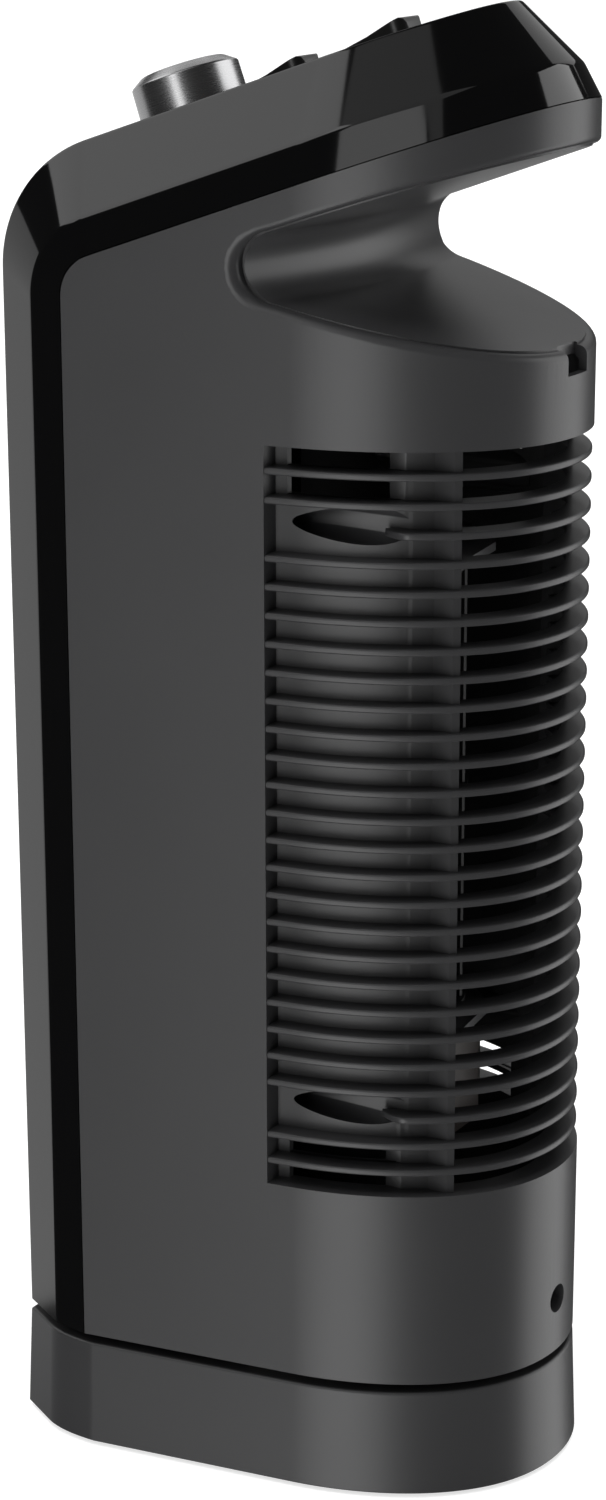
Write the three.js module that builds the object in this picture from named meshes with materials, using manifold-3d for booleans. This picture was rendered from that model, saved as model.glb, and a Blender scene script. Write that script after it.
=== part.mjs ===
// Oscillating ceramic tower heater. Millimetres, +Z up, the air outlet faces -Y, floor at Z = 0.
import * as THREE from "three";
import { mergeVertices } from "three/addons/utils/BufferGeometryUtils.js";
import Module from "manifold-3d";

const wasm = await Module();
wasm.setup();

// ---- driving sizes -----------------------------------------------------------------------------
const SEAT = 0.3; // gap left between two pieces that touch
const WALL = 2.4; // moulded wall
// plan of the tower and the base
const SIDE_HALF = 56; // half width at mid depth
const SIDE_TAPER = 0.154; // half width lost per millimetre towards the rear
const FRONT_Y = -75.3; // front face at its side edges
const FACE_HALF = 52.5; // half width of the front face
const FACE_BULGE = 10; // how far the front face swells at its middle
const BEVEL_DEPTH = 16.1;
const SHOULDER_DEPTH = 10.9;
const BEVEL_INSET = 3.2;
const REAR_START = 18; // where the straight side turns into the rear curve
const REAR_Y = 76.8;
const REAR_SIDE_PULL = 29;
const REAR_BACK_PULL = 31;
// heights
const BASE_HEIGHT = 32.8;
const SWING_GAP = 2.85;
const BASE_FLARE = 1.4;
const PANEL_Z = 403; // sloped top panel where it crosses mid depth
const PANEL_SLOPE = 0.36;
const BEVEL_DROP = 21.5;
const SHOULDER_DROP = 32.3;
const BEND_OUTER = 38;
const BEND_MIDDLE = 24;
const BEND_INNER = 12;
const BEZEL_WALL = 2.6;
// handle recess, side view
const GRIP_NOSE_Y = 19;
const GRIP_NOSE_Z = 355.6;
const GRIP_NOSE_R = 9.8;
const GRIP_SHELF_DROP = 0.24; // shelf height lost per millimetre towards the rear
const GRIP_ROUND_LOW = 4.6;
const GRIP_ROUND_NOSE = 8;
const GRIP_ROUND_TOP = 1.8;
// rear grille
const RIB_PITCH = 8;
const RIB_THICK = 2;
const RIB_COUNT = 26;
const RIB_TOP_Z = 302.4; // top of the first rib
const FIRST_SLOT = 6;
const GRILLE_START_Y = 10.7;
const GRILLE_DEPTH = 6.1;
const RIB_SINK = 0.4;
const BACKING_THICK = 2.1;
const INTAKE_HALF = 31.8;
const WINDOW_END_Y = 47.9;
const WELL_X = 42.2;
const WELL_R = 5.25;
const WELL_LIFT = 0.6; // well axis above the top of its half rib
const WELL_SEAT_Y = 9;
// screws
const REAR_SCREW_Z = 52.1;
const REAR_SCREW_HOLE = 4.3;
const REAR_SCREW_DEPTH = 5.5; // seat of its head below the surface
const SCREW_HEAD_R = 3.5;
const SCREW_SHANK_R = 1.7;
// outlet
const OUTLET_HALF = 34;
const OUTLET_Z0 = 92;
const OUTLET_Z1 = 312;
const SLAT_PITCH = 14;
const SLAT_THICK = 1.6;
// blower
const BLOWER_Y = 14;
const BLOWER_Z0 = 130;
const BLOWER_Z1 = 272;
const WHEEL_R = 27;
const WHEEL_BLADES = 18;
const FAN_SHAFT_R = 2;
// heater
const HEATER_Y0 = -53;
const HEATER_Y1 = -39;
const HEATER_HALF = 37.6;
const HEATER_RAIL = 6;
const HEATER_Z0 = BLOWER_Z0 - 15; // reaches down and up between the screw bosses
const HEATER_Z1 = BLOWER_Z1 + 18;
const PTC_COUNT = 3;
// swing drive
const HUB_R = 14;
const SWING_ARM = 24;
const CRANK_R = 12;
const CRANK_CENTRE_Y = -45;
// controls, along the sloped panel from the point above mid depth
const KNOB_Y = -47.3;
const KNOB_R_TOP = 15.6;
const KNOB_R_FOOT = 15.8;
const KNOB_HEIGHT = 14.6;
const KNOB_CHAMFER = 3.6;
const ROCKER_Y = [-17.7, 16.3];
const ROCKER_LENGTH = 24;
const ROCKER_WIDTH = 13;
const ROCKER_TILT = 11; // degrees, rear half
const ROCKER_FRONT_TILT = 7; // degrees, front half
const ROCKER_CREST = 3.3; // middle of the key above its pivot line
const LENS_X = 17;
const LENS_Y = KNOB_Y + 20;
const PANEL_HALF = 24; // control plate
const PANEL_FRONT = -62;
const PANEL_REAR = 33;
const PANEL_SINK = 0.5;

const PANEL_TILT = Math.atan(PANEL_SLOPE);
const TOWER_Z = BASE_HEIGHT + SWING_GAP;
const RAD = Math.PI / 180;

// ---- solids ------------------------------------------------------------------------------------
// A closed three.js geometry as a solid.
function solid(geometry) {
  const bare = geometry.clone();
  bare.deleteAttribute("normal");
  bare.deleteAttribute("uv");
  const g = mergeVertices(bare, 1e-4);
  const kept = [];
  for (let i = 0; i < g.index.count; i += 3) {
    const [a, b, c] = [g.index.getX(i), g.index.getX(i + 1), g.index.getX(i + 2)];
    if (a !== b && b !== c && c !== a) kept.push(a, b, c);
  }
  const vertProperties = new Float32Array(g.attributes.position.array);
  const triVerts = new Uint32Array(kept);
  return new wasm.Manifold(new wasm.Mesh({ numProp: 3, vertProperties, triVerts }));
}

// A named mesh from a solid.
function piece(name, body, look) {
  const mesh = body.getMesh();
  const g = new THREE.BufferGeometry();
  g.setAttribute("position", new THREE.BufferAttribute(new Float32Array(mesh.vertProperties), 3));
  g.setIndex(new THREE.BufferAttribute(new Uint32Array(mesh.triVerts), 1));
  const flat = g.toNonIndexed();
  flat.computeVertexNormals();
  const out = new THREE.Mesh(flat, new THREE.MeshStandardMaterial(look));
  out.name = name;
  return out;
}

function box(x0, x1, y0, y1, z0, z1) {
  const g = new THREE.BoxGeometry(x1 - x0, y1 - y0, z1 - z0);
  return solid(g.translate((x0 + x1) / 2, (y0 + y1) / 2, (z0 + z1) / 2));
}

function post(x, y, r, z0, z1, sides = 20) {
  const g = new THREE.CylinderGeometry(r, r, z1 - z0, sides).rotateX(Math.PI / 2);
  return solid(g.translate(x, y, (z0 + z1) / 2));
}

// A round bar along Y.
function barY(x, z, r, y0, y1, sides = 20) {
  const g = new THREE.CylinderGeometry(r, r, y1 - y0, sides);
  return solid(g.translate(x, (y0 + y1) / 2, z));
}

// A profile of [radius, height] turned about Z; it starts and ends on the axis or closes on itself.
function turned(profile, sides = 32) {
  const points = profile.map(([r, z]) => new THREE.Vector2(r, z));
  return solid(new THREE.LatheGeometry(points, sides).rotateX(Math.PI / 2));
}

function ring(rIn, rOut, z0, z1, sides = 32) {
  return turned([[rIn, z0], [rOut, z0], [rOut, z1], [rIn, z1], [rIn, z0]], sides);
}

function outline(points) {
  return new THREE.Shape(points.map(([x, y]) => new THREE.Vector2(x, y)));
}

// A plan outline pushed up from z0 to z1.
function prism(points, z0, z1) {
  const g = new THREE.ExtrudeGeometry(outline(points), { depth: z1 - z0, bevelEnabled: false });
  return solid(g.translate(0, 0, z0));
}

// A side view outline of [y, z] points pushed across from x0 to x1.
function prismX(points, x0, x1) {
  const g = new THREE.ExtrudeGeometry(outline(points), { depth: x1 - x0, bevelEnabled: false });
  const turn = new THREE.Matrix4().makeBasis(
    new THREE.Vector3(0, 1, 0),
    new THREE.Vector3(0, 0, 1),
    new THREE.Vector3(1, 0, 0),
  );
  return solid(g.applyMatrix4(turn).translate(x0, 0, 0));
}

function joined(parts) {
  return parts.reduce((a, b) => a.add(b));
}

function mirrored(points) {
  return points.map(([x, y]) => [-x, y]).reverse();
}

// Skin over stacked rings that each hold the same number of points; a ring is [x, y, z] points.
function skinned(rings, closed) {
  const n = rings[0].length;
  const m = rings.length;
  const index = [];
  for (let j = 0; j < (closed ? m : m - 1); j++) {
    for (let i = 0; i < n; i++) {
      const [a, b] = [j * n + i, j * n + ((i + 1) % n)];
      const [c, d] = [((j + 1) % m) * n + i, ((j + 1) % m) * n + ((i + 1) % n)];
      index.push(a, b, d, a, d, c);
    }
  }
  if (!closed) {
    const flat = rings[0].map(([x, y]) => new THREE.Vector2(x, y));
    for (const [a, b, c] of THREE.ShapeUtils.triangulateShape(flat, [])) {
      index.push(a, c, b);
      index.push(a + (m - 1) * n, b + (m - 1) * n, c + (m - 1) * n);
    }
  }
  const g = new THREE.BufferGeometry();
  g.setAttribute("position", new THREE.Float32BufferAttribute(rings.flat(2), 3));
  g.setIndex(index);
  return solid(g);
}

// ---- plan curve --------------------------------------------------------------------------------
// Half width of the straight side at depth y.
function sideHalf(y) {
  return SIDE_HALF - SIDE_TAPER * y;
}

// Right half of the plan from the side at depth y0 round to the rear centre, moved inwards.
function halfPlan(y0, inset, steps = 6) {
  const start = new THREE.Vector2(sideHalf(REAR_START), REAR_START);
  const along = new THREE.Vector2(-SIDE_TAPER, 1).normalize();
  const bend = new THREE.CubicBezierCurve(
    start,
    start.clone().addScaledVector(along, REAR_SIDE_PULL),
    new THREE.Vector2(REAR_BACK_PULL, REAR_Y),
    new THREE.Vector2(0, REAR_Y),
  );
  const run = inset * (1 - SIDE_TAPER * 0.4);
  const points = [[sideHalf(y0) - run, y0]];
  for (let i = 0; i <= steps; i++) {
    const p = bend.getPoint(i / steps);
    const t = bend.getTangent(i / steps);
    points.push([Math.max(0, p.x - t.y * inset), p.y + t.x * inset]);
  }
  points[1][0] = sideHalf(REAR_START) - inset * along.y;
  points[1][1] = REAR_START - inset * SIDE_TAPER;
  return points;
}

// Closed plan with an open-cut front at depth y0.
function plan(y0, inset, steps) {
  const half = halfPlan(y0, inset, steps);
  return [...half, ...mirrored(half.slice(0, -1))];
}

// Closed plan with the bevelled front corners, used by the base and the tower floor.
function bevelledPlan(inset, steps) {
  const half = halfPlan(FRONT_Y + BEVEL_DEPTH + SHOULDER_DEPTH, inset, steps);
  const corner = [
    [FACE_HALF - inset * 0.6, FRONT_Y + inset],
    [sideHalf(FRONT_Y + BEVEL_DEPTH) - BEVEL_INSET - inset, FRONT_Y + BEVEL_DEPTH + inset * 0.3],
  ];
  const right = [...corner, ...half];
  return [...right, ...mirrored(right.slice(0, -1))];
}

// ---- front and top skin ------------------------------------------------------------------------
// One sheet of the bezel: rows run from the foot, up the front, round the bend and back along the
// top to the rear; each row runs from the right edge to the left edge.
function sheet({ front, top, bend, foot, insetFront, insetRear, bulge = 0 }, columns = 6) {
  const drop = Math.PI / 2 - PANEL_TILT;
  const reach = bend * Math.tan(drop / 2);
  const slope = [Math.cos(PANEL_TILT), Math.sin(PANEL_TILT)];
  const rows = [];
  const insetAt = (y) => {
    const k = THREE.MathUtils.clamp((y - FRONT_Y) / (REAR_Y - FRONT_Y), 0, 1);
    return insetFront + (insetRear - insetFront) * k;
  };
  // side view point for step k of the front and bend, with the front line at depth y
  const arcSteps = 8;
  const frontPoint = (k, y) => {
    const cornerZ = top + PANEL_SLOPE * y;
    if (k < 0) return [y, foot];
    const a = (drop * k) / arcSteps;
    const cy = y + bend;
    const cz = cornerZ - reach;
    return [cy - bend * Math.cos(a), cz + bend * Math.sin(a)];
  };
  for (let k = -1; k <= arcSteps; k++) {
    const edge = frontPoint(k, front);
    const half = sideHalf(edge[0]) - insetAt(edge[0]);
    const row = [];
    for (let c = 0; c <= columns; c++) {
      const u = 1 - (2 * c) / columns;
      const [y, z] = frontPoint(k, front - bulge * (1 - u * u));
      row.push([half * u, y, z]);
    }
    rows.push(row);
  }
  const bendEnd = front + reach * slope[0];
  const edge = halfPlan(bendEnd, 0).slice(1);
  const rear = edge.map(([x, y], i) => {
    const [px, py] = edge[Math.max(0, i - 1)];
    const [qx, qy] = edge[Math.min(edge.length - 1, i + 1)];
    const length = Math.hypot(qx - px, qy - py);
    const inset = insetAt(y);
    return [x - ((qy - py) / length) * inset, y + ((qx - px) / length) * inset];
  });
  rear[rear.length - 1] = [0, REAR_Y - insetAt(REAR_Y)];
  for (const [x, y] of rear) {
    const row = [];
    for (let c = 0; c <= columns; c++) {
      row.push([Math.max(0, x) * (1 - (2 * c) / columns), y, top + PANEL_SLOPE * y]);
    }
    rows.push(row);
  }
  return rows;
}

// Solid between a first and a last sheet, its edge passing through the edges of the ones between.
function sheetSolid(sheets) {
  const [m, n] = [sheets[0].length, sheets[0][0].length];
  const last = sheets.length - 1;
  const at = (k, j, i) => (k * m + j) * n + i;
  const index = [];
  const quad = (a, b, c, d) => index.push(a, b, c, a, c, d);
  for (let j = 0; j < m - 1; j++) {
    for (let i = 0; i < n - 1; i++) {
      quad(at(0, j, i), at(0, j + 1, i), at(0, j + 1, i + 1), at(0, j, i + 1));
      quad(at(last, j, i), at(last, j, i + 1), at(last, j + 1, i + 1), at(last, j + 1, i));
    }
  }
  const border = [];
  for (let i = 0; i < n - 1; i++) border.push([0, i]);
  for (let j = 0; j < m - 1; j++) border.push([j, n - 1]);
  for (let i = n - 1; i > 0; i--) border.push([m - 1, i]);
  for (let j = m - 1; j > 0; j--) border.push([j, 0]);
  for (let k = 0; k < last; k++) {
    border.forEach(([j, i], s) => {
      const [j2, i2] = border[(s + 1) % border.length];
      quad(at(k, j, i), at(k, j2, i2), at(k + 1, j2, i2), at(k + 1, j, i));
    });
  }
  const g = new THREE.BufferGeometry();
  g.setAttribute("position", new THREE.Float32BufferAttribute(sheets.flat(3), 3));
  g.setIndex(index);
  const made = solid(g);
  return made.volume() < 0 ? solid(flipped(g)) : made;
}

function flipped(g) {
  const out = g.clone();
  const index = Array.from(g.index.array);
  for (let i = 0; i < index.length; i += 3) [index[i], index[i + 1]] = [index[i + 1], index[i]];
  out.setIndex(index);
  return out;
}

// ---- base --------------------------------------------------------------------------------------
const DECK_Z = BASE_HEIGHT - WALL;
const FOOT_SPOTS = [[42, -52], [-42, -52], [30, 44], [-30, 44]];
const SCREW_SPOTS = [[48, -22], [-48, -22], [14, 62], [-14, 62]];
const PLATE_Z0 = 1.6;
const PLATE_Z1 = 4;
const FOOT_R = 7;

function flareRing(spread, z) {
  return bevelledPlan(-spread).map(([x, y]) => [x, y, z]);
}

// Flared skirt with a flat deck, open underneath, bored for the swivel hub.
function baseShell() {
  const outer = skinned([flareRing(BASE_FLARE, 0.9), flareRing(0, BASE_HEIGHT)]);
  const hollow = skinned([flareRing(BASE_FLARE - WALL, -1), flareRing(-WALL, DECK_Z)]);
  let shell = outer.subtract(hollow);
  shell = shell.subtract(post(0, 0, HUB_R + 0.5, DECK_Z - 1, BASE_HEIGHT + 1, 48));
  for (const [x, y] of SCREW_SPOTS) {
    const boss = post(x, y, 4, PLATE_Z1 + SEAT, DECK_Z + 0.5, 20);
    shell = shell.add(boss).subtract(post(x, y, SCREW_SHANK_R + SEAT, 0, 16, 16));
  }
  return shell;
}

// Bottom cover with seats for the feet and screws.
function basePlate() {
  let plate = prism(bevelledPlan(WALL + 0.6 - BASE_FLARE), PLATE_Z0, PLATE_Z1);
  for (const [x, y] of FOOT_SPOTS) plate = plate.subtract(post(x, y, FOOT_R + SEAT, 0, 2.7, 20));
  for (const [x, y] of SCREW_SPOTS) {
    plate = plate.subtract(post(x, y, SCREW_SHANK_R + SEAT, 0, 6, 12));
    plate = plate.subtract(post(x, y, SCREW_HEAD_R + SEAT, 0, 2.9, 16));
  }
  return plate;
}

function foot() {
  const z1 = 2.7 - SEAT;
  return turned([[0, 0], [FOOT_R - 0.8, 0], [FOOT_R, 0.8], [FOOT_R, z1], [0, z1]], 24);
}

// Cross-head screw pointing up, its head's top face at z = 0.
function screw(length) {
  const head = [[0, 0], [SCREW_HEAD_R - 0.7, 0], [SCREW_HEAD_R, 0.7], [SCREW_HEAD_R, 2]];
  const shank = [[SCREW_SHANK_R, 2], [SCREW_SHANK_R, length - 1], [0, length]];
  const slot = 2.1;
  let body = turned([...head, ...shank], 14);
  body = body.subtract(box(-slot, slot, -0.45, 0.45, -1, 1.2));
  return body.subtract(box(-0.45, 0.45, -slot, slot, -1, 1.2));
}

function tipSwitch() {
  const body = box(-44, -26, 4 + SEAT, 18, PLATE_Z1 + SEAT, 20);
  return body.add(box(-38, -32, 9, 13, 19, 23)).add(box(-43, -41, 8, 14, 19, 24));
}

// ---- swing drive -------------------------------------------------------------------------------
const CRANK_TOP = 23.9;
const LINK_Z0 = CRANK_TOP + SEAT;
const LINK_Z1 = LINK_Z0 + 2;
const HUB_Z0 = 29.9;
const RETAINER_Z1 = HUB_Z0 - SEAT;
const RETAINER_Z0 = RETAINER_Z1 - 2.4;
const LINK_EYE_R = 2.3;

function turntableRing() {
  return ring(34, 44, BASE_HEIGHT + SEAT, TOWER_Z - SEAT, 40);
}

function swingMotor() {
  const can = ring(2.2, 24, PLATE_Z1 + SEAT, 19.6, 48).add(post(0, 0, 8, PLATE_Z1 + SEAT, 8, 24));
  const ears = box(-29, 29, -5, 5, 17.6, 19.6).subtract(post(0, 0, 20, 15, 22));
  return can.add(ears).translate(SWING_ARM, CRANK_CENTRE_Y, 0);
}

// Crank wheel with its spindle going down into the motor and its pin standing up.
function swingCrank() {
  const wheel = post(0, 0, CRANK_R + 4, 20.9, CRANK_TOP, 36).add(post(0, 0, 1.8, 9, 21.5, 20));
  const pin = post(CRANK_R, 0, 4, CRANK_TOP - 3, CRANK_TOP, 20);
  return wheel.add(pin).translate(SWING_ARM, CRANK_CENTRE_Y, 0);
}

// Flat bar from the crank wheel to the retainer's arm, an eye at each end.
function swingLink() {
  const length = Math.hypot(CRANK_R, CRANK_CENTRE_Y);
  const bar = box(-3, 3, -length, 0, LINK_Z0, LINK_Z1);
  const eyes = post(0, 0, 5, LINK_Z0, LINK_Z1, 24).add(post(0, -length, 5, LINK_Z0, LINK_Z1, 24));
  const holes = post(0, 0, LINK_EYE_R, LINK_Z0 - 1, LINK_Z1 + 1, 20).add(
    post(0, -length, LINK_EYE_R, LINK_Z0 - 1, LINK_Z1 + 1, 20),
  );
  const angle = Math.atan2(CRANK_R, -CRANK_CENTRE_Y) / RAD;
  return bar.add(eyes).subtract(holes).rotate([0, 0, angle]).translate(SWING_ARM, 0, 0);
}

// Washer under the hub with the driven arm and its pin.
function pivotRetainer() {
  const arm = box(0, SWING_ARM, -4, 4, RETAINER_Z0, RETAINER_Z1);
  const end = post(SWING_ARM, 0, 5, RETAINER_Z0, RETAINER_Z1, 24);
  const pin = post(SWING_ARM, 0, LINK_EYE_R - SEAT, LINK_Z0 + 0.2, RETAINER_Z0 + 0.5, 20);
  const disc = post(0, 0, 19, RETAINER_Z0, RETAINER_Z1, 48);
  return disc.add(arm).add(end).add(pin).subtract(post(0, 0, 6, RETAINER_Z0 - 1, HUB_Z0 + 1, 32));
}

// ---- tower shell -------------------------------------------------------------------------------
const FLOOR_Z1 = TOWER_Z + 2.5;
const SHOULDER_Y = FRONT_Y + BEVEL_DEPTH + SHOULDER_DEPTH;
const LUG_Y = REAR_Y - 16;

function towerFloor() {
  let floor = prism(bevelledPlan(WALL + 0.7), TOWER_Z, FLOOR_Z1);
  floor = floor.add(post(0, 0, HUB_R, HUB_Z0, TOWER_Z + 0.5, 48));
  floor = floor.add(box(-9, 9, LUG_Y - 5, LUG_Y - SEAT, TOWER_Z + 1, REAR_SCREW_Z + 8));
  floor = floor.subtract(barY(0, REAR_SCREW_Z, SCREW_SHANK_R + SEAT, LUG_Y - 8, LUG_Y + 2, 16));
  return floor.subtract(post(0, 0, 6, HUB_Z0 - 1, FLOOR_Z1 + 1, 32));
}

// Side view of the space behind the bezel: front line, inner bend and sloped top, moved inwards.
function shoulderProfile(gap, y1, z0) {
  const y0 = SHOULDER_Y + gap;
  const top = PANEL_Z - SHOULDER_DROP - gap / Math.cos(PANEL_TILT);
  const drop = Math.PI / 2 - PANEL_TILT;
  const reach = BEND_INNER * Math.tan(drop / 2);
  const points = [[y0, z0]];
  for (let k = 0; k <= 8; k++) {
    const a = (drop * k) / 8;
    const z = top + PANEL_SLOPE * y0 - reach + BEND_INNER * Math.sin(a);
    points.push([y0 + BEND_INNER * (1 - Math.cos(a)), z]);
  }
  return [...points, [y1, top + PANEL_SLOPE * y1], [y1, z0]];
}

// Side view of the handle recess, grown by the given amount; open to the rear.
function gripProfile(grow) {
  const r = GRIP_NOSE_R + grow;
  const up = Math.PI / 2 + PANEL_TILT;
  const down = Math.PI * 1.5 - Math.atan(GRIP_SHELF_DROP);
  const points = [];
  for (let k = 0; k <= 10; k++) {
    const a = up + ((down - up) * k) / 10;
    points.push([GRIP_NOSE_Y + r * Math.cos(a), GRIP_NOSE_Z + r * Math.sin(a)]);
  }
  const [ty, tz] = points[0];
  const [by, bz] = points[10];
  const end = REAR_Y + 20;
  points.unshift([end, tz + PANEL_SLOPE * (end - ty)]);
  points.push([end, bz - GRIP_SHELF_DROP * (end - by)]);
  return points;
}

// Points of the plan curve by distance from the rear centre, with the outward direction there.
function wallTable(steps = 6) {
  const half = halfPlan(SHOULDER_Y, 0, steps).reverse();
  const table = [];
  let s = 0;
  half.forEach(([x, y], i) => {
    if (i) s += Math.hypot(x - half[i - 1][0], y - half[i - 1][1]);
    const [px, py] = half[Math.max(0, i - 1)];
    const [qx, qy] = half[Math.min(half.length - 1, i + 1)];
    const l = Math.hypot(qx - px, qy - py);
    table.push({ s, x, y, nx: i ? -(qy - py) / l : 0, ny: i ? (qx - px) / l : 1 });
  });
  return table;
}

function wallPoint(table, s, depth) {
  const [d, side] = [Math.abs(s), Math.sign(s) || 1];
  let i = 1;
  while (i < table.length - 1 && table[i].s < d) i++;
  const [a, b] = [table[i - 1], table[i]];
  const k = (d - a.s) / (b.s - a.s);
  const mix = (u, v) => u + (v - u) * k;
  const [nx, ny] = [mix(a.nx, b.nx), mix(a.ny, b.ny)];
  return [side * (mix(a.x, b.x) - nx * depth), mix(a.y, b.y) - ny * depth];
}

// The rim of the handle recess laid out flat as [distance from the rear centre, height, round].
function gripRim(table) {
  const profile = gripProfile(0);
  const length = (y) => {
    let i = 1;
    while (i < table.length - 1 && table[i].y > y) i++;
    const [a, b] = [table[i - 1], table[i]];
    return a.s + ((b.s - a.s) * (a.y - y)) / (a.y - b.y);
  };
  const nose = profile.slice(1, -1);
  const low = nose[nose.length - 1];
  const high = nose[0];
  const right = [];
  for (const k of [0, 0.12, 0.25, 0.4, 0.55, 0.7, 0.85]) {
    const s = length(low[0]) * k;
    const [, y] = wallPoint(table, s, 0);
    right.push([s, low[1] - GRIP_SHELF_DROP * (y - low[0]), GRIP_ROUND_LOW]);
  }
  nose.reverse().forEach(([y, z], i) => {
    const k = i / (nose.length - 1);
    const bulge = Math.sin(Math.PI * Math.min(1, k * 1.1));
    const flat = GRIP_ROUND_LOW + (GRIP_ROUND_TOP - GRIP_ROUND_LOW) * k;
    right.push([length(y), z, flat + (GRIP_ROUND_NOSE - flat) * bulge * 0.9]);
  });
  for (const k of [0.8, 0.6, 0.4, 0.2, 0]) {
    const s = length(high[0]) * k;
    const [, y] = wallPoint(table, s, 0);
    right.push([s, high[1] + PANEL_SLOPE * (y - high[0]), GRIP_ROUND_TOP]);
  }
  const left = right.slice(1, -1).map(([s, z, r]) => [-s, z, r]).reverse();
  return [...right, ...left];
}

// Solid that runs along the rim of the recess, one section at each of its points. The cutting one
// rounds the edge off, the other is the wall kept behind it.
function gripRounding(kept) {
  const table = wallTable();
  const rim = gripRim(table);
  const n = rim.length;
  const rings = rim.map(([s, z, r], i) => {
    const [ps, pz] = rim[(i + n - 1) % n];
    const [qs, qz] = rim[(i + 1) % n];
    const l = Math.hypot(qs - ps, qz - pz);
    const [os, oz] = [(qz - pz) / l, -(qs - ps) / l]; // away from the opening, within the wall
    const far = r + WALL;
    const cut = [[-1.2, -1.2], [r * 1.25, -1.2], [r * 1.25, -r * 0.067], [r * 0.5, r * 0.134]];
    cut.push([r * 0.134, r * 0.5], [-r * 0.067, r * 1.25], [-1.4, r * 1.25]);
    const back = [[-1, -1], [far, -1], [far, WALL * 0.6], [WALL * 0.6, far], [-1, far]];
    const section = kept ? back : cut;
    return section.map(([o, d]) => [...wallPoint(table, s + os * o, d), z + oz * o]);
  });
  return skinned(rings.reverse(), true);
}

const RIB_TOPS = Array.from({ length: RIB_COUNT }, (_, i) => RIB_TOP_Z - i * RIB_PITCH);
const GRILLE_Z1 = RIB_TOP_Z + FIRST_SLOT;
const GRILLE_Z0 = RIB_TOPS[RIB_COUNT - 1] - RIB_PITCH;
const HALF_RIBS = [2, RIB_COUNT - 3];
const WELL_ZS = HALF_RIBS.map((i) => RIB_TOPS[i] + WELL_LIFT);

// Band that follows the wall between two depths, from depth y0 on one side round to the other.
function wallBand(y0, outer, inner, z0, z1) {
  const [a, b] = [halfPlan(y0, outer), halfPlan(y0, inner)];
  const out = [...a, ...mirrored(a.slice(0, -1))];
  const back = [...b, ...mirrored(b.slice(0, -1))].reverse();
  return prism([...out, ...back], z0, z1);
}

// Tube round a screw's bore, trimmed to the inside of the backing wall.
function screwWell(side, z) {
  const [x, y1] = [side * WELL_X, WINDOW_END_Y - 6];
  const inside = prism(plan(SHOULDER_Y, GRILLE_DEPTH + 0.4), z - 20, z + 20);
  return barY(x, z, WELL_R + 1.4, WELL_SEAT_Y - 2.2, y1, 24).intersect(inside);
}

function wellBore(side, z) {
  const bore = barY(side * WELL_X, z, WELL_R, WELL_SEAT_Y, REAR_Y, 28);
  const shank = barY(side * WELL_X, z, SCREW_SHANK_R + SEAT, WELL_SEAT_Y - 4, WELL_SEAT_Y + 1, 16);
  return bore.add(shank);
}

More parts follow.
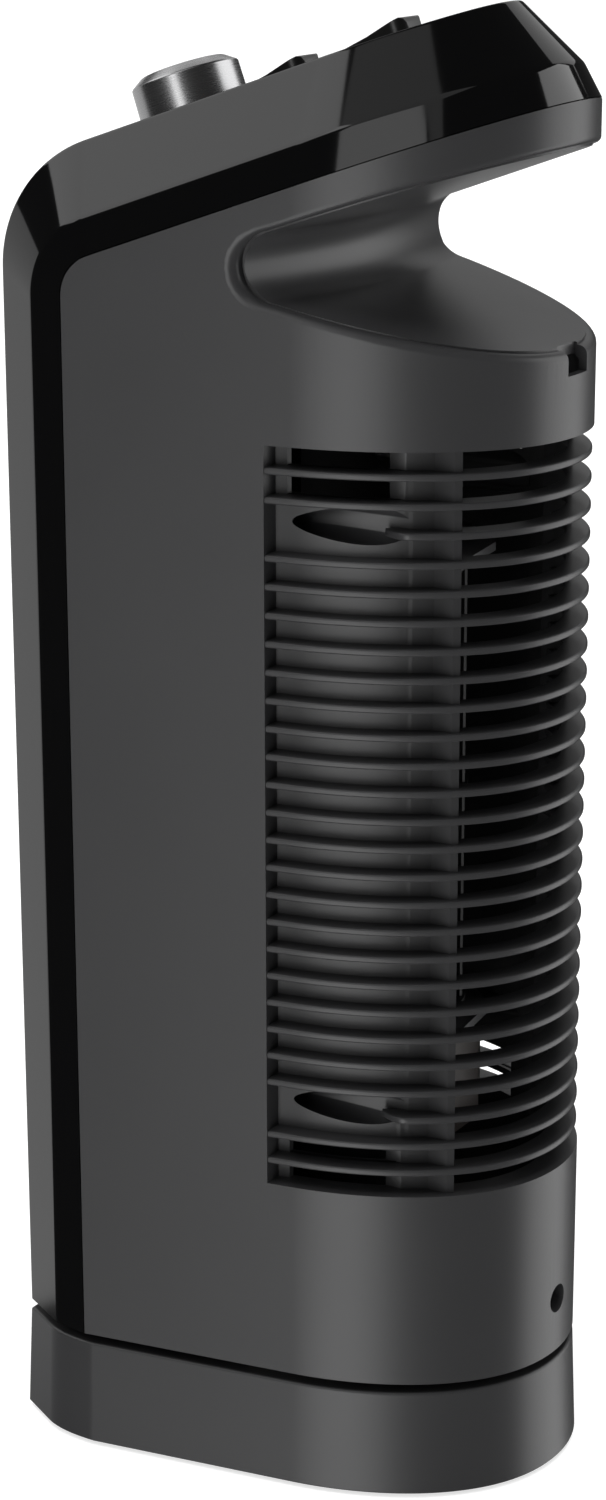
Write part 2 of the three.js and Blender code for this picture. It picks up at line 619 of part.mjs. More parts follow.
// Matte rear housing: side walls, handle recess, louvred grille, screw wells.
function rearShell() {
  const [z0, y1] = [TOWER_Z, REAR_Y + 10];
  const outer = prism(plan(SHOULDER_Y, 0), z0, PANEL_Z + 60).intersect(
    prismX(shoulderProfile(SEAT, y1, z0), -90, 90),
  );
  const cavity = prism(plan(SHOULDER_Y - 6, WALL), z0 - 1, PANEL_Z + 61);
  const gripSkin = prismX(gripProfile(WALL), -90, 90);
  let shell = outer.subtract(cavity.subtract(gripSkin).subtract(gripRounding(true)));
  shell = shell.subtract(prismX(gripProfile(0), -90, 90)).subtract(gripRounding(false));
  const y0 = GRILLE_START_Y;
  // lower and upper solid bands stay; the field of slots is cut out and rebuilt behind the ribs
  const field = wallBand(y0, -3, WALL + 3, GRILLE_Z0, GRILLE_Z1);
  shell = shell.subtract(field.intersect(box(-90, 90, y0, 90, GRILLE_Z0, GRILLE_Z1)));
  const backIn = GRILLE_DEPTH;
  const backOut = GRILLE_DEPTH + BACKING_THICK;
  let backing = wallBand(y0 - 4, backIn, backOut, GRILLE_Z0 - 2, GRILLE_Z1 + 2);
  backing = backing.subtract(box(-INTAKE_HALF, INTAKE_HALF, 20, 90, GRILLE_Z0, GRILLE_Z1));
  const cheek = wallBand(y0 - 4, 1, backOut, GRILLE_Z0 - 2, GRILLE_Z1 + 2);
  const cheeks = cheek.intersect(box(-90, 90, y0 - 2.1, y0, GRILLE_Z0 - 2, GRILLE_Z1 + 2));
  const sill = wallBand(y0 - 2.1, 1, backOut, GRILLE_Z0 - 2, GRILLE_Z0);
  const lintel = wallBand(y0 - 2.1, 1, backOut, GRILLE_Z1, GRILLE_Z1 + 2);
  shell = joined([shell, backing, cheeks, sill, lintel]);
  for (const side of [1, -1]) {
    for (const z of WELL_ZS) shell = shell.add(screwWell(side, z));
  }
  RIB_TOPS.forEach((top, i) => {
    let rib = wallBand(y0 - 1, RIB_SINK, backIn + 1, top - RIB_THICK, top);
    if (HALF_RIBS.includes(i)) {
      rib = rib.intersect(box(-90, 90, WINDOW_END_Y - 2, 90, top - 9, top + 9));
    }
    shell = shell.add(rib);
  });
  for (const side of [1, -1]) {
    for (const z of WELL_ZS) shell = shell.subtract(wellBore(side, z));
    for (const i of [0, 1, RIB_COUNT - 1, RIB_COUNT]) {
      const z = RIB_TOP_Z - i * RIB_PITCH;
      const [x0, x1] = side > 0 ? [38, 60] : [-60, -38];
      shell = shell.subtract(box(x0, x1, y0, WINDOW_END_Y, z, z + RIB_PITCH - RIB_THICK));
    }
    const fin = wallBand(y0, 2.4, backIn + 1, GRILLE_Z0 - 1, GRILLE_Z1 + 1);
    const finX = side * (INTAKE_HALF + 1.3);
    const slab = box(finX - 0.7, finX + 0.7, 40, 90, GRILLE_Z0 - 1, GRILLE_Z1 + 1);
    shell = shell.add(fin.intersect(slab));
  }
  // recessed screw at the foot of the rear
  shell = shell.add(barY(0, REAR_SCREW_Z, REAR_SCREW_HOLE + 1.8, LUG_Y, REAR_Y - 1, 28));
  shell = shell.subtract(barY(0, REAR_SCREW_Z, REAR_SCREW_HOLE, REAR_Y - REAR_SCREW_DEPTH, REAR_Y + 5, 28));
  shell = shell.subtract(barY(0, REAR_SCREW_Z, SCREW_SHANK_R + SEAT, LUG_Y - 2, REAR_Y, 16));
  // latch window at the top edge of the band
  const notchZ = GRIP_NOSE_Z - GRIP_NOSE_R - GRIP_SHELF_DROP * (REAR_Y - GRIP_NOSE_Y);
  shell = shell.subtract(box(-4.5, 4.5, REAR_Y - 4.2, REAR_Y + 3, notchZ - 6.5, notchZ + 3));
  return shell.simplify(0.02);
}

// ---- bezel -------------------------------------------------------------------------------------
const BOSS_Y1 = WELL_SEAT_Y - 4 - SEAT;
const BOSS_R = 4.2;

// Glossy frame that covers the front and the sloped top, bevelled all round.
function frontBezel() {
  const foot = TOWER_Z;
  const face = { front: FRONT_Y, top: PANEL_Z, bend: BEND_OUTER, foot };
  const middle = { front: FRONT_Y + BEVEL_DEPTH, top: PANEL_Z - BEVEL_DROP, bend: BEND_MIDDLE, foot };
  const seam = { front: SHOULDER_Y, top: PANEL_Z - SHOULDER_DROP, bend: BEND_INNER, foot };
  const rim = { insetFront: 15.1, insetRear: 22 };
  const waist = { insetFront: BEVEL_INSET, insetRear: 5 };
  const edge = { insetFront: 0, insetRear: 0 };
  const outer = sheetSolid([
    sheet({ ...face, ...rim, bulge: FACE_BULGE }),
    sheet({ ...middle, ...waist }),
    sheet({ ...seam, ...edge }),
  ]);
  const t = BEZEL_WALL;
  const thin = (level, back) => ({
    ...level,
    front: level.front + back,
    top: level.top - back / Math.cos(PANEL_TILT),
    foot: foot - 2,
  });
  const inner = sheetSolid([
    sheet({ ...thin(face, t), insetFront: 16.4, insetRear: 23.6, bulge: FACE_BULGE }),
    sheet({ ...thin(middle, t * 0.4), insetFront: BEVEL_INSET + t, insetRear: 5 + t }),
    sheet({ ...thin(seam, 1), insetFront: t, insetRear: t }),
  ]);
  let bezel = outer.subtract(inner);
  for (const side of [1, -1]) {
    for (const z of WELL_ZS) {
      const boss = barY(side * WELL_X, z, BOSS_R, FRONT_Y - 4, BOSS_Y1, 14);
      bezel = bezel.add(boss.intersect(outer.add(box(-60, 60, SHOULDER_Y - 2, 30, z - 9, z + 9))));
    }
  }
  for (const side of [1, -1]) {
    for (const z of WELL_ZS) {
      bezel = bezel.subtract(barY(side * WELL_X, z, SCREW_SHANK_R + SEAT, -14, 30, 16));
    }
  }
  bezel = bezel.subtract(box(-OUTLET_HALF, OUTLET_HALF, -110, -60, OUTLET_Z0, OUTLET_Z1));
  return bezel.subtract(panelFrame(panelCut()));
}

// Moves a solid drawn flat, z out of the panel, onto the sloped top.
function panelFrame(body) {
  return body.rotate([PANEL_TILT / RAD, 0, 0]).translate(0, 0, PANEL_Z);
}

function panelCut() {
  return box(-PANEL_HALF, PANEL_HALF, PANEL_FRONT, PANEL_REAR, -6, 6);
}

// Louvred outlet behind the bezel's window, swelling with the front face.
function outletGrille() {
  const bow = (x) => FACE_BULGE * (1 - (x / FACE_HALF) ** 2);
  const arc = (x0, x1, y) => {
    const points = [];
    for (let i = 0; i <= 6; i++) {
      const x = x0 + ((x1 - x0) * i) / 6;
      points.push([x, y - bow(x)]);
    }
    return points;
  };
  const strip = (half, y0, y1) => [...arc(-half, half, y0), ...arc(half, -half, y1)];
  const yFace = FRONT_Y + BEZEL_WALL + 0.6;
  const half = OUTLET_HALF + 3;
  const frame = prism(strip(half, yFace, yFace + 6), OUTLET_Z0 - 3, OUTLET_Z1 + 3);
  const inside = prism(strip(half - 3.4, yFace - 3, yFace + 9), OUTLET_Z0 + 0.4, OUTLET_Z1 - 0.4);
  const parts = [frame.subtract(inside)];
  for (let z = OUTLET_Z0 + SLAT_PITCH; z < OUTLET_Z1 - 4; z += SLAT_PITCH) {
    parts.push(prism(strip(half - 1, yFace + 0.4, yFace + 5.6), z, z + SLAT_THICK));
  }
  for (const x of [-11.5, 11.5]) {
    const y = yFace - bow(x);
    parts.push(box(x - 0.9, x + 0.9, y + 1, y + 4.6, OUTLET_Z0 - 1, OUTLET_Z1 + 1));
  }
  return joined(parts);
}

// ---- blower ------------------------------------------------------------------------------------
const CASE_END = 2.4;
const THROAT_HALF = HEATER_HALF - HEATER_RAIL;

// End plates with the scroll wall and the cut-off wall between them.
function blowerHousing() {
  const footprint = [];
  for (const [a, r] of scrollCurve()) {
    footprint.push([-r * Math.sin(a * RAD), BLOWER_Y + r * Math.cos(a * RAD)]);
  }
  const scroll = [...footprint, [-THROAT_HALF, HEATER_Y1 + SEAT]];
  const back = [[-THROAT_HALF - 2, HEATER_Y1 + SEAT]];
  for (const [a, r] of scrollCurve().reverse()) {
    back.push([-(r + 2) * Math.sin(a * RAD), BLOWER_Y + (r + 2) * Math.cos(a * RAD)]);
  }
  const cutOff = [
    [WHEEL_R + 2.5, BLOWER_Y + 8],
    [WHEEL_R + 2, BLOWER_Y - 6],
    [THROAT_HALF, BLOWER_Y - 20],
    [THROAT_HALF, HEATER_Y1 + SEAT],
    [THROAT_HALF + 2, HEATER_Y1 + SEAT],
    [THROAT_HALF + 2, BLOWER_Y - 19],
    [WHEEL_R + 4.2, BLOWER_Y - 6],
    [WHEEL_R + 4.6, BLOWER_Y + 8],
  ];
  const [z0, z1] = [BLOWER_Z0, BLOWER_Z1];
  const walls = prism([...scroll, ...back], z0 + 1, z1 - 1).add(prism(cutOff, z0 + 1, z1 - 1));
  const cap = [
    [-THROAT_HALF - 2, HEATER_Y1 + SEAT],
    [THROAT_HALF + 2, HEATER_Y1 + SEAT],
    [THROAT_HALF + 4, BLOWER_Y],
    [WHEEL_R + 5, BLOWER_Y + 14],
    [16, BLOWER_Y + 30],
    [-14, BLOWER_Y + 34],
    [-40, BLOWER_Y + 16],
    [-44, BLOWER_Y - 6],
  ];
  const ends = prism(cap, z0, z0 + CASE_END).add(prism(cap, z1 - CASE_END, z1));
  let housing = walls.add(ends);
  housing = housing.subtract(post(0, BLOWER_Y, 7, z0 - 1, z0 + CASE_END + 1, 24));
  housing = housing.subtract(post(0, BLOWER_Y, 5 + SEAT, z1 - CASE_END - 1, z1 + 1, 24));
  return housing.mirror([1, 0, 0]);
}

// Scroll wall as [angle from the rear, radius]; the finished housing is its mirror image.
function scrollCurve() {
  const points = [];
  for (let a = 18; a <= 118; a += 10) points.push([a, WHEEL_R + 3 + (a - 18) * 0.1]);
  return points;
}

const WHEEL_Z0 = BLOWER_Z0 + CASE_END + 2;
const WHEEL_Z1 = BLOWER_Z1 - CASE_END - 2;

// Drum of forward-curved blades between two end discs.
function fanWheel() {
  const [z0, z1] = [WHEEL_Z0, WHEEL_Z1];
  const parts = [
    post(0, 0, WHEEL_R, z0, z0 + 1.6, 36),
    post(0, 0, 5, z0, z0 + 12, 20),
    ring(WHEEL_R - 6, WHEEL_R, (z0 + z1) / 2 - 0.8, (z0 + z1) / 2 + 0.8, 36),
    post(0, 0, WHEEL_R, z1 - 1.6, z1, 36),
    post(0, 0, 2, z1 - 1, z1 + 4.6, 16),
  ];
  for (let i = 0; i < WHEEL_BLADES; i++) {
    const blade = box(-0.6, 0.6, WHEEL_R - 6, WHEEL_R - 0.6, z0 + 1, z1 - 1);
    const leaning = blade.translate(0, -WHEEL_R, 0).rotate([0, 0, -28]).translate(0, WHEEL_R - 0.5, 0);
    parts.push(leaning.rotate([0, 0, (360 * i) / WHEEL_BLADES]));
  }
  const bore = post(0, 0, FAN_SHAFT_R + SEAT, z0 - 1, z0 + 10, 20);
  return joined(parts).subtract(bore).translate(0, BLOWER_Y, 0);
}

const MOTOR_Z0 = BLOWER_Z0 - 28;
const MOTOR_Z1 = BLOWER_Z0 - 10;

function fanShaft() {
  return post(0, BLOWER_Y, FAN_SHAFT_R, MOTOR_Z0 - 6, WHEEL_Z0 + 9, 20);
}

// Laminated stack with the rotor bore.
function fanMotor() {
  const stack = box(-26, 26, BLOWER_Y - 22, BLOWER_Y + 22, MOTOR_Z0, MOTOR_Z1);
  const window = box(-9, 9, BLOWER_Y + 14, BLOWER_Y + 19, MOTOR_Z0 - 1, MOTOR_Z1 + 1);
  const bore = post(0, BLOWER_Y, FAN_SHAFT_R + SEAT, MOTOR_Z0 - 1, MOTOR_Z1 + 1, 20);
  return stack.subtract(window).subtract(bore);
}

// Winding round the core's leg, one side of it through the core's window.
function motorCoil() {
  const y0 = BLOWER_Y + 14 + SEAT;
  const block = box(-14, 14, y0, BLOWER_Y + 28, MOTOR_Z0 - 5, MOTOR_Z1 + 5);
  const [c0, c1] = [MOTOR_Z0 - SEAT, MOTOR_Z1 + SEAT];
  const core = box(-60, 60, y0 - 1, BLOWER_Y + 22 + SEAT, c0, c1);
  const inWindow = box(-9 + SEAT, 9 - SEAT, y0, BLOWER_Y + 19 - SEAT, MOTOR_Z0 - 1, MOTOR_Z1 + 1);
  return block.subtract(core).add(inWindow);
}

// Carries the motor under the blower housing.
function motorBracket() {
  const z0 = MOTOR_Z1 + SEAT;
  const plate = box(-34, 34, BLOWER_Y - 8, BLOWER_Y + 8, z0, z0 + 1.5);
  const legs = box(29, 34, BLOWER_Y - 8, BLOWER_Y + 8, z0, BLOWER_Z0 - SEAT);
  const legs2 = box(-34, -29, BLOWER_Y - 8, BLOWER_Y + 8, z0, BLOWER_Z0 - SEAT);
  return joined([plate, legs, legs2]).subtract(post(0, BLOWER_Y, 5, z0 - 1, z0 + 3, 24));
}

// Flanged bush in the top end plate that carries the wheel's upper pin.
function bearingBush() {
  const [bore, z0, z1] = [2 + SEAT, BLOWER_Z1 - CASE_END, BLOWER_Z1 + SEAT];
  const sleeve = [[bore, z0], [5, z0], [5, z1]];
  const flange = [[8, z1], [8, z1 + 2.2], [4, z1 + 4.2], [bore, z1 + 4.2], [bore, z0]];
  return turned([...sleeve, ...flange], 28).translate(0, BLOWER_Y, 0);
}

// ---- heater ------------------------------------------------------------------------------------
function heaterFrame() {
  const inner = HEATER_HALF - HEATER_RAIL;
  const frame = box(-HEATER_HALF, HEATER_HALF, HEATER_Y0, HEATER_Y1, HEATER_Z0, HEATER_Z1);
  return frame.subtract(box(-inner, inner, HEATER_Y0 - 1, HEATER_Y1 + 1, BLOWER_Z0, BLOWER_Z1));
}

// One bank of ceramic heating blocks with folded aluminium fins each side.
function ptcBank() {
  const inner = HEATER_HALF - HEATER_RAIL;
  const width = (2 * inner) / PTC_COUNT;
  const half = width / 2 - SEAT;
  const [z0, z1] = [BLOWER_Z0 + SEAT, BLOWER_Z1 - SEAT];
  let bank = box(-half, half, HEATER_Y0 + 1, HEATER_Y1 - 1, z0, z1);
  const pitch = 11;
  for (let z = z0 + 3; z < z1 - 4; z += pitch) {
    for (const side of [1, -1]) {
      const [x0, x1] = side > 0 ? [2.2, half - 0.8] : [-half + 0.8, -2.2];
      bank = bank.subtract(box(x0, x1, HEATER_Y0, HEATER_Y1, z, z + pitch - 1.2));
    }
  }
  return bank;
}

function thermalCutout() {
  const z = HEATER_Z1 + SEAT;
  const y = (HEATER_Y0 + HEATER_Y1) / 2;
  const can = post(0, y, 6, z, z + 5, 28).add(post(0, y, 4, z + 4, z + 9, 20));
  return can.add(box(-9, 9, y - 1.5, y + 1.5, z + 6, z + 7));
}

// ---- controls, drawn flat with z out of the panel ----------------------------------------------
function controlPanel() {
  const [hw, y0, y1] = [PANEL_HALF - SEAT, PANEL_FRONT + SEAT, PANEL_REAR - SEAT];
  let panel = box(-hw, hw, y0, y1, -4, -PANEL_SINK);
  panel = panel.add(box(-PANEL_HALF - 2, PANEL_HALF + 2, y0 + 2, y1 + 2, -5, -BEZEL_WALL - 0.4));
  panel = panel.subtract(post(0, KNOB_Y, 3.6, -8, 2, 24));
  for (const y of ROCKER_Y) {
    const [l, w] = [ROCKER_LENGTH / 2 + 0.6, ROCKER_WIDTH / 2 + 0.6];
    panel = panel.subtract(box(-w, w, y - l, y + l, -8, 2));
  }
  return panel.subtract(post(LENS_X, LENS_Y, 2 + SEAT, -8, 2, 20));
}

function indicatorLens() {
  return turned([[0, -4.8], [2, -4.8], [2, -0.3], [1.4, 0.3], [0, 0.5]], 20).translate(LENS_X, LENS_Y, 0);
}

// Slightly tapered dial with a chamfered cap and a pointer groove, hollow underneath.
function thermostatKnob() {
  const [z0, h, c] = [0.3, KNOB_HEIGHT, KNOB_CHAMFER];
  const skirt = KNOB_R_FOOT - 2;
  const under = [[0, 5], [4, 5], [4, z0], [5.4, z0], [5.4, 5], [skirt, 5], [skirt, z0]];
  const over = [[KNOB_R_FOOT, z0], [KNOB_R_TOP, h - c * 0.62], [KNOB_R_TOP - c, h], [0, h]];
  const dial = turned([...under, ...over], 40);
  const groove = box(-0.6, 0.6, 4, KNOB_R_TOP - c, h - 0.6, h + 1);
  return dial.subtract(groove).translate(0, KNOB_Y, 0);
}

function thermostatShaft() {
  return post(0, KNOB_Y, 3, -9, 4.7, 24);
}

function thermostatBody() {
  const can = ring(3.3, 13, -20, -5 - SEAT, 40).add(post(0, 0, 12, -20, -16, 32));
  const terminals = box(-9, -8, -3, 3, -27, -19).add(box(8, 9, -3, 3, -27, -19));
  return can.add(terminals).translate(0, KNOB_Y, 0);
}

// Rocker with two shallow planes, resting with its rear end up; drawn about its own pivot.
function rocker() {
  const half = ROCKER_LENGTH / 2;
  const front = Math.tan(ROCKER_FRONT_TILT * RAD);
  const rear = Math.tan(ROCKER_TILT * RAD);
  const tip = ROCKER_CREST + (half - 1.6) * rear;
  const side = [
    [-half, -1.6], [-half, ROCKER_CREST - half * front], [0, ROCKER_CREST], [half - 1.6, tip],
    [half - 0.7, tip - 0.5], [half - 0.3, tip - 1.8], [half, -1], [0, -6.5],
  ];
  return prismX(side, -ROCKER_WIDTH / 2, ROCKER_WIDTH / 2);
}

function switchBody(y) {
  const [l, w] = [ROCKER_LENGTH / 2 + 0.2, ROCKER_WIDTH / 2 + 0.4];
  let can = box(-w - 1, w + 1, y - l - 1, y + l + 1, -19, -5 - SEAT);
  can = can.subtract(box(-w, w, y - l, y + l, -10, 0));
  can = can.add(box(-1, 1, y - 8, y - 6, -25, -18)).add(box(-1, 1, y + 6, y + 8, -25, -18));
  return can;
}

// ---- looks -------------------------------------------------------------------------------------
const matte = { color: 0x3c3c3e, roughness: 0.55, metalness: 0 };
const gloss = { color: 0x0a0a0b, roughness: 0.12, metalness: 0 };
const black = { color: 0x111112, roughness: 0.5, metalness: 0 };
const satin = { color: 0xb9babc, roughness: 0.25, metalness: 1 };
const steel = { color: 0xa6a8aa, roughness: 0.35, metalness: 1 };
const zinc = { color: 0x8d8f92, roughness: 0.45, metalness: 1 };
const rubber = { color: 0x161616, roughness: 0.9, metalness: 0 };
const nylon = { color: 0xd8d6cf, roughness: 0.6, metalness: 0 };
const copper = { color: 0xa5552a, roughness: 0.4, metalness: 0.8 };
const amber = { color: 0xc2410c, roughness: 0.25, metalness: 0 };

// ---- assembly ----------------------------------------------------------------------------------
const heater = new THREE.Group();
heater.name = "ceramic_tower_heater";

const base = new THREE.Group();
base.add(piece("base_shell", baseShell(), matte));
base.add(piece("base_plate", basePlate(), matte));
FOOT_SPOTS.forEach(([x, y], i) => {
  const pad = piece("foot_" + (i + 1), foot(), rubber);
  pad.position.set(x, y, 0);
  base.add(pad);
});
SCREW_SPOTS.forEach(([x, y], i) => {
  const s = piece("base_screw_" + (i + 1), screw(12), zinc);
  s.position.set(x, y, 0.7);
  base.add(s);
});
base.add(piece("tip_over_switch", tipSwitch(), black));
base.add(piece("swing_motor", swingMotor(), steel));
base.add(piece("swing_crank", swingCrank(), nylon));
base.add(piece("turntable_ring", turntableRing(), nylon));
heater.add(base);

const tower = new THREE.Group();
tower.add(piece("tower_floor", towerFloor(), black));
tower.add(piece("pivot_retainer", pivotRetainer(), steel));
tower.add(piece("swing_link", swingLink(), steel));
tower.add(piece("rear_shell", rearShell(), matte));
tower.add(piece("front_bezel", frontBezel(), gloss));
tower.add(piece("outlet_grille", outletGrille(), black));
tower.add(piece("blower_housing", blowerHousing(), black));
tower.add(piece("fan_wheel", fanWheel(), black));
tower.add(piece("fan_shaft", fanShaft(), steel));
tower.add(piece("fan_motor", fanMotor(), steel));
tower.add(piece("motor_coil", motorCoil(), copper));
tower.add(piece("motor_bracket", motorBracket(), zinc));
tower.add(piece("bearing_bush", bearingBush(), nylon));
tower.add(piece("heater_frame", heaterFrame(), nylon));
for (let i = 0; i < PTC_COUNT; i++) {
  const bank = piece("ptc_bank_" + (i + 1), ptcBank(), steel);
  bank.position.x = (i - (PTC_COUNT - 1) / 2) * ((2 * (HEATER_HALF - HEATER_RAIL)) / PTC_COUNT);
  tower.add(bank);
}
tower.add(piece("thermal_cutout", thermalCutout(), zinc));
const rearScrew = piece("rear_screw", screw(16), zinc);
rearScrew.rotation.x = Math.PI / 2;
rearScrew.position.set(0, REAR_Y - REAR_SCREW_DEPTH + 2 + SEAT, REAR_SCREW_Z);
tower.add(rearScrew);
let wellNumber = 0;
for (const side of [1, -1]) {
  for (const z of WELL_ZS) {
    wellNumber += 1;
    const s = piece("well_screw_" + wellNumber, screw(22), zinc);
    s.rotation.x = Math.PI / 2;
    s.position.set(side * WELL_X, WELL_SEAT_Y + 2 + SEAT, z);
    tower.add(s);
  }
}

const panel = new THREE.Group();
panel.position.z = PANEL_Z;
panel.rotation.x = PANEL_TILT;
panel.add(piece("control_panel", controlPanel(), black));
panel.add(piece("indicator_lens", indicatorLens(), amber));
panel.add(piece("thermostat_knob", thermostatKnob(), satin));
panel.add(piece("thermostat_shaft", thermostatShaft(), steel));
panel.add(piece("thermostat_body", thermostatBody(), zinc));
ROCKER_Y.forEach((y, i) => {
  const key = piece("rocker_" + (i + 1), rocker(), black);
  key.position.set(0, y, 0.4);
  panel.add(key);
  panel.add(piece("switch_body_" + (i + 1), switchBody(y), black));
});
tower.add(panel);
heater.add(tower);

// The middle of the overall box stands on the origin.
const BOX_MIDDLE_Y = (FRONT_Y - FACE_BULGE + REAR_Y + BASE_FLARE) / 2;
for (const half of [base, tower]) half.position.y = -BOX_MIDDLE_Y;

export default heater;
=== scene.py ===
import math

import bmesh
import bpy
from mathutils import Matrix, Vector


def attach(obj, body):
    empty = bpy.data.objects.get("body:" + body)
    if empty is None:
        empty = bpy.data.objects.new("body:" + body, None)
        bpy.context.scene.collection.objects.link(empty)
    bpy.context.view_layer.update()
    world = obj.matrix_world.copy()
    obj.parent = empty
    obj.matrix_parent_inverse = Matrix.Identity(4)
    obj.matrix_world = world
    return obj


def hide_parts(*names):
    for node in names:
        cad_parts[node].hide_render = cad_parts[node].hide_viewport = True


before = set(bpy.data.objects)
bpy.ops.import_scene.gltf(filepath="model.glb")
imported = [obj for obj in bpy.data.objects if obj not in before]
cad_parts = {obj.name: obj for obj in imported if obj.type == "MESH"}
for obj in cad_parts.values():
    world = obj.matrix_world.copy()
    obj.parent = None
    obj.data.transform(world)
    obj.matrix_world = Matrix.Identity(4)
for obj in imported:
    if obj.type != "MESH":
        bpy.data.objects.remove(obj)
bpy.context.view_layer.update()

# ---- camera ------------------------------------------------------------------------------------
# Stands behind the heater's left shoulder and looks a little down on it, as a long lens would.
# The sideways shift centres the heater in the frame.
camera_data = bpy.data.cameras.new("camera")
camera_data.lens = 78.34
camera_data.sensor_width = 36.0
camera_data.shift_x = -0.01437
camera_data.clip_end = 20.0
camera = bpy.data.objects.new("camera", camera_data)
camera.location = (0.7800, 0.46935, 0.4825)
camera.rotation_euler = (math.radians(73.18), 0.0, math.radians(121.0))
bpy.context.scene.collection.objects.link(camera)
bpy.context.scene.camera = camera

# ---- studio ------------------------------------------------------------------------------------
# A pale floor under the heater and soft boxes round it, bright to the left and behind, so that
# the matte housing shades off round its back. The floor isn't mirrored in the gloss.
bpy.context.scene.view_settings.view_transform = "Standard"
FLOOR_HALF, FLOOR_GREY, FLOOR_GLOW = 6.0, 0.45, 0.7
ROOM_LIGHT = 0.04
SUN_POWER, SUN_ANGLE = 3.0, 60.0


def plain_look(name, colour, rough, metal=0.0, spec=0.5):
    """A material with even values; colour is linear red, green and blue."""
    made = bpy.data.materials.new(name)
    made.use_nodes = True
    shader = made.node_tree.nodes["Principled BSDF"]
    shader.inputs["Base Color"].default_value = (*colour, 1.0)
    shader.inputs["Roughness"].default_value = rough
    shader.inputs["Metallic"].default_value = metal
    shader.inputs["Specular IOR Level"].default_value = spec
    return made


def soft_box(name, azimuth, elevation, width, height, radiance, distance=4.0):
    """A flat light that faces the heater; azimuth runs from +X towards +Y, in degrees."""
    lamp = bpy.data.lights.new(name, "AREA")
    lamp.shape = "RECTANGLE"
    lamp.size = width
    lamp.size_y = height
    lamp.energy = radiance * math.pi * width * height
    made = bpy.data.objects.new(name, lamp)
    a, e = math.radians(azimuth), math.radians(elevation)
    away = Vector((math.cos(a) * math.cos(e), math.sin(a) * math.cos(e), math.sin(e)))
    made.location = away * distance + Vector((0.0, 0.0, 0.25))
    made.rotation_euler = (-away).to_track_quat("-Z", "Y").to_euler()
    made.visible_camera = False
    bpy.context.scene.collection.objects.link(made)


floor_mesh = bpy.data.meshes.new("floor")
floor_mesh.from_pydata(
    [(x * FLOOR_HALF, y * FLOOR_HALF, -0.0002) for x, y in ((-1, -1), (1, -1), (1, 1), (-1, 1))],
    [], [(0, 1, 2, 3)])
pale = plain_look("pale_floor", (FLOOR_GREY,) * 3, 0.9, spec=0.1)
pale_shader = pale.node_tree.nodes["Principled BSDF"]
pale_shader.inputs["Emission Color"].default_value = (1.0, 1.0, 1.0, 1.0)
pale_shader.inputs["Emission Strength"].default_value = FLOOR_GLOW
floor_mesh.materials.append(pale)
floor = bpy.data.objects.new("floor", floor_mesh)
floor.visible_glossy = False
floor.visible_shadow = False
bpy.context.scene.collection.objects.link(floor)

world = bpy.data.worlds.new("studio")
world.use_nodes = True
bpy.context.scene.world = world
air = world.node_tree
room = air.nodes["Background"]
room.inputs["Color"].default_value = (1.0, 1.0, 1.0, 1.0)
room.inputs["Strength"].default_value = ROOM_LIGHT
backdrop = air.nodes.new("ShaderNodeBackground")
seen = air.nodes.new("ShaderNodeLightPath")
choose = air.nodes.new("ShaderNodeMixShader")
air.links.new(seen.outputs["Is Camera Ray"], choose.inputs["Fac"])
air.links.new(room.outputs["Background"], choose.inputs[1])
air.links.new(backdrop.outputs["Background"], choose.inputs[2])
air.links.new(choose.outputs["Shader"], air.nodes["World Output"].inputs["Surface"])

soft_box("high_side_box", -1.0, 37.0, 2.0, 1.4, 1.5)
soft_box("side_streak_box", 5.0, 12.0, 1.0, 1.3, 2.4)
soft_box("low_side_box", 6.0, -28.0, 1.9, 5.0, 3.2)
soft_box("rear_left_box", 133.0, 0.0, 3.7, 6.5, 2.1)
soft_box("far_box", -174.0, 32.0, 3.0, 1.8, 0.7)
soft_box("far_high_box", -128.0, 44.0, 2.4, 1.8, 0.8)
soft_box("upper_front_box", -70.0, 43.0, 4.0, 2.1, 1.75)
soft_box("front_box", -118.0, -8.0, 7.0, 3.3, 0.66)
soft_box("high_box", -5.0, 62.0, 3.3, 2.0, 0.45)
overhead = bpy.data.objects.new("overhead", bpy.data.lights.new("overhead", "SUN"))
overhead.data.energy = SUN_POWER
overhead.data.angle = math.radians(SUN_ANGLE)
overhead.visible_glossy = False
bpy.context.scene.collection.objects.link(overhead)

# ---- feet --------------------------------------------------------------------------------------
# Four soft rubber pads pressed into the underside of the base. The heater stands on them, and
# their dull skin has a fine grain from the mould.


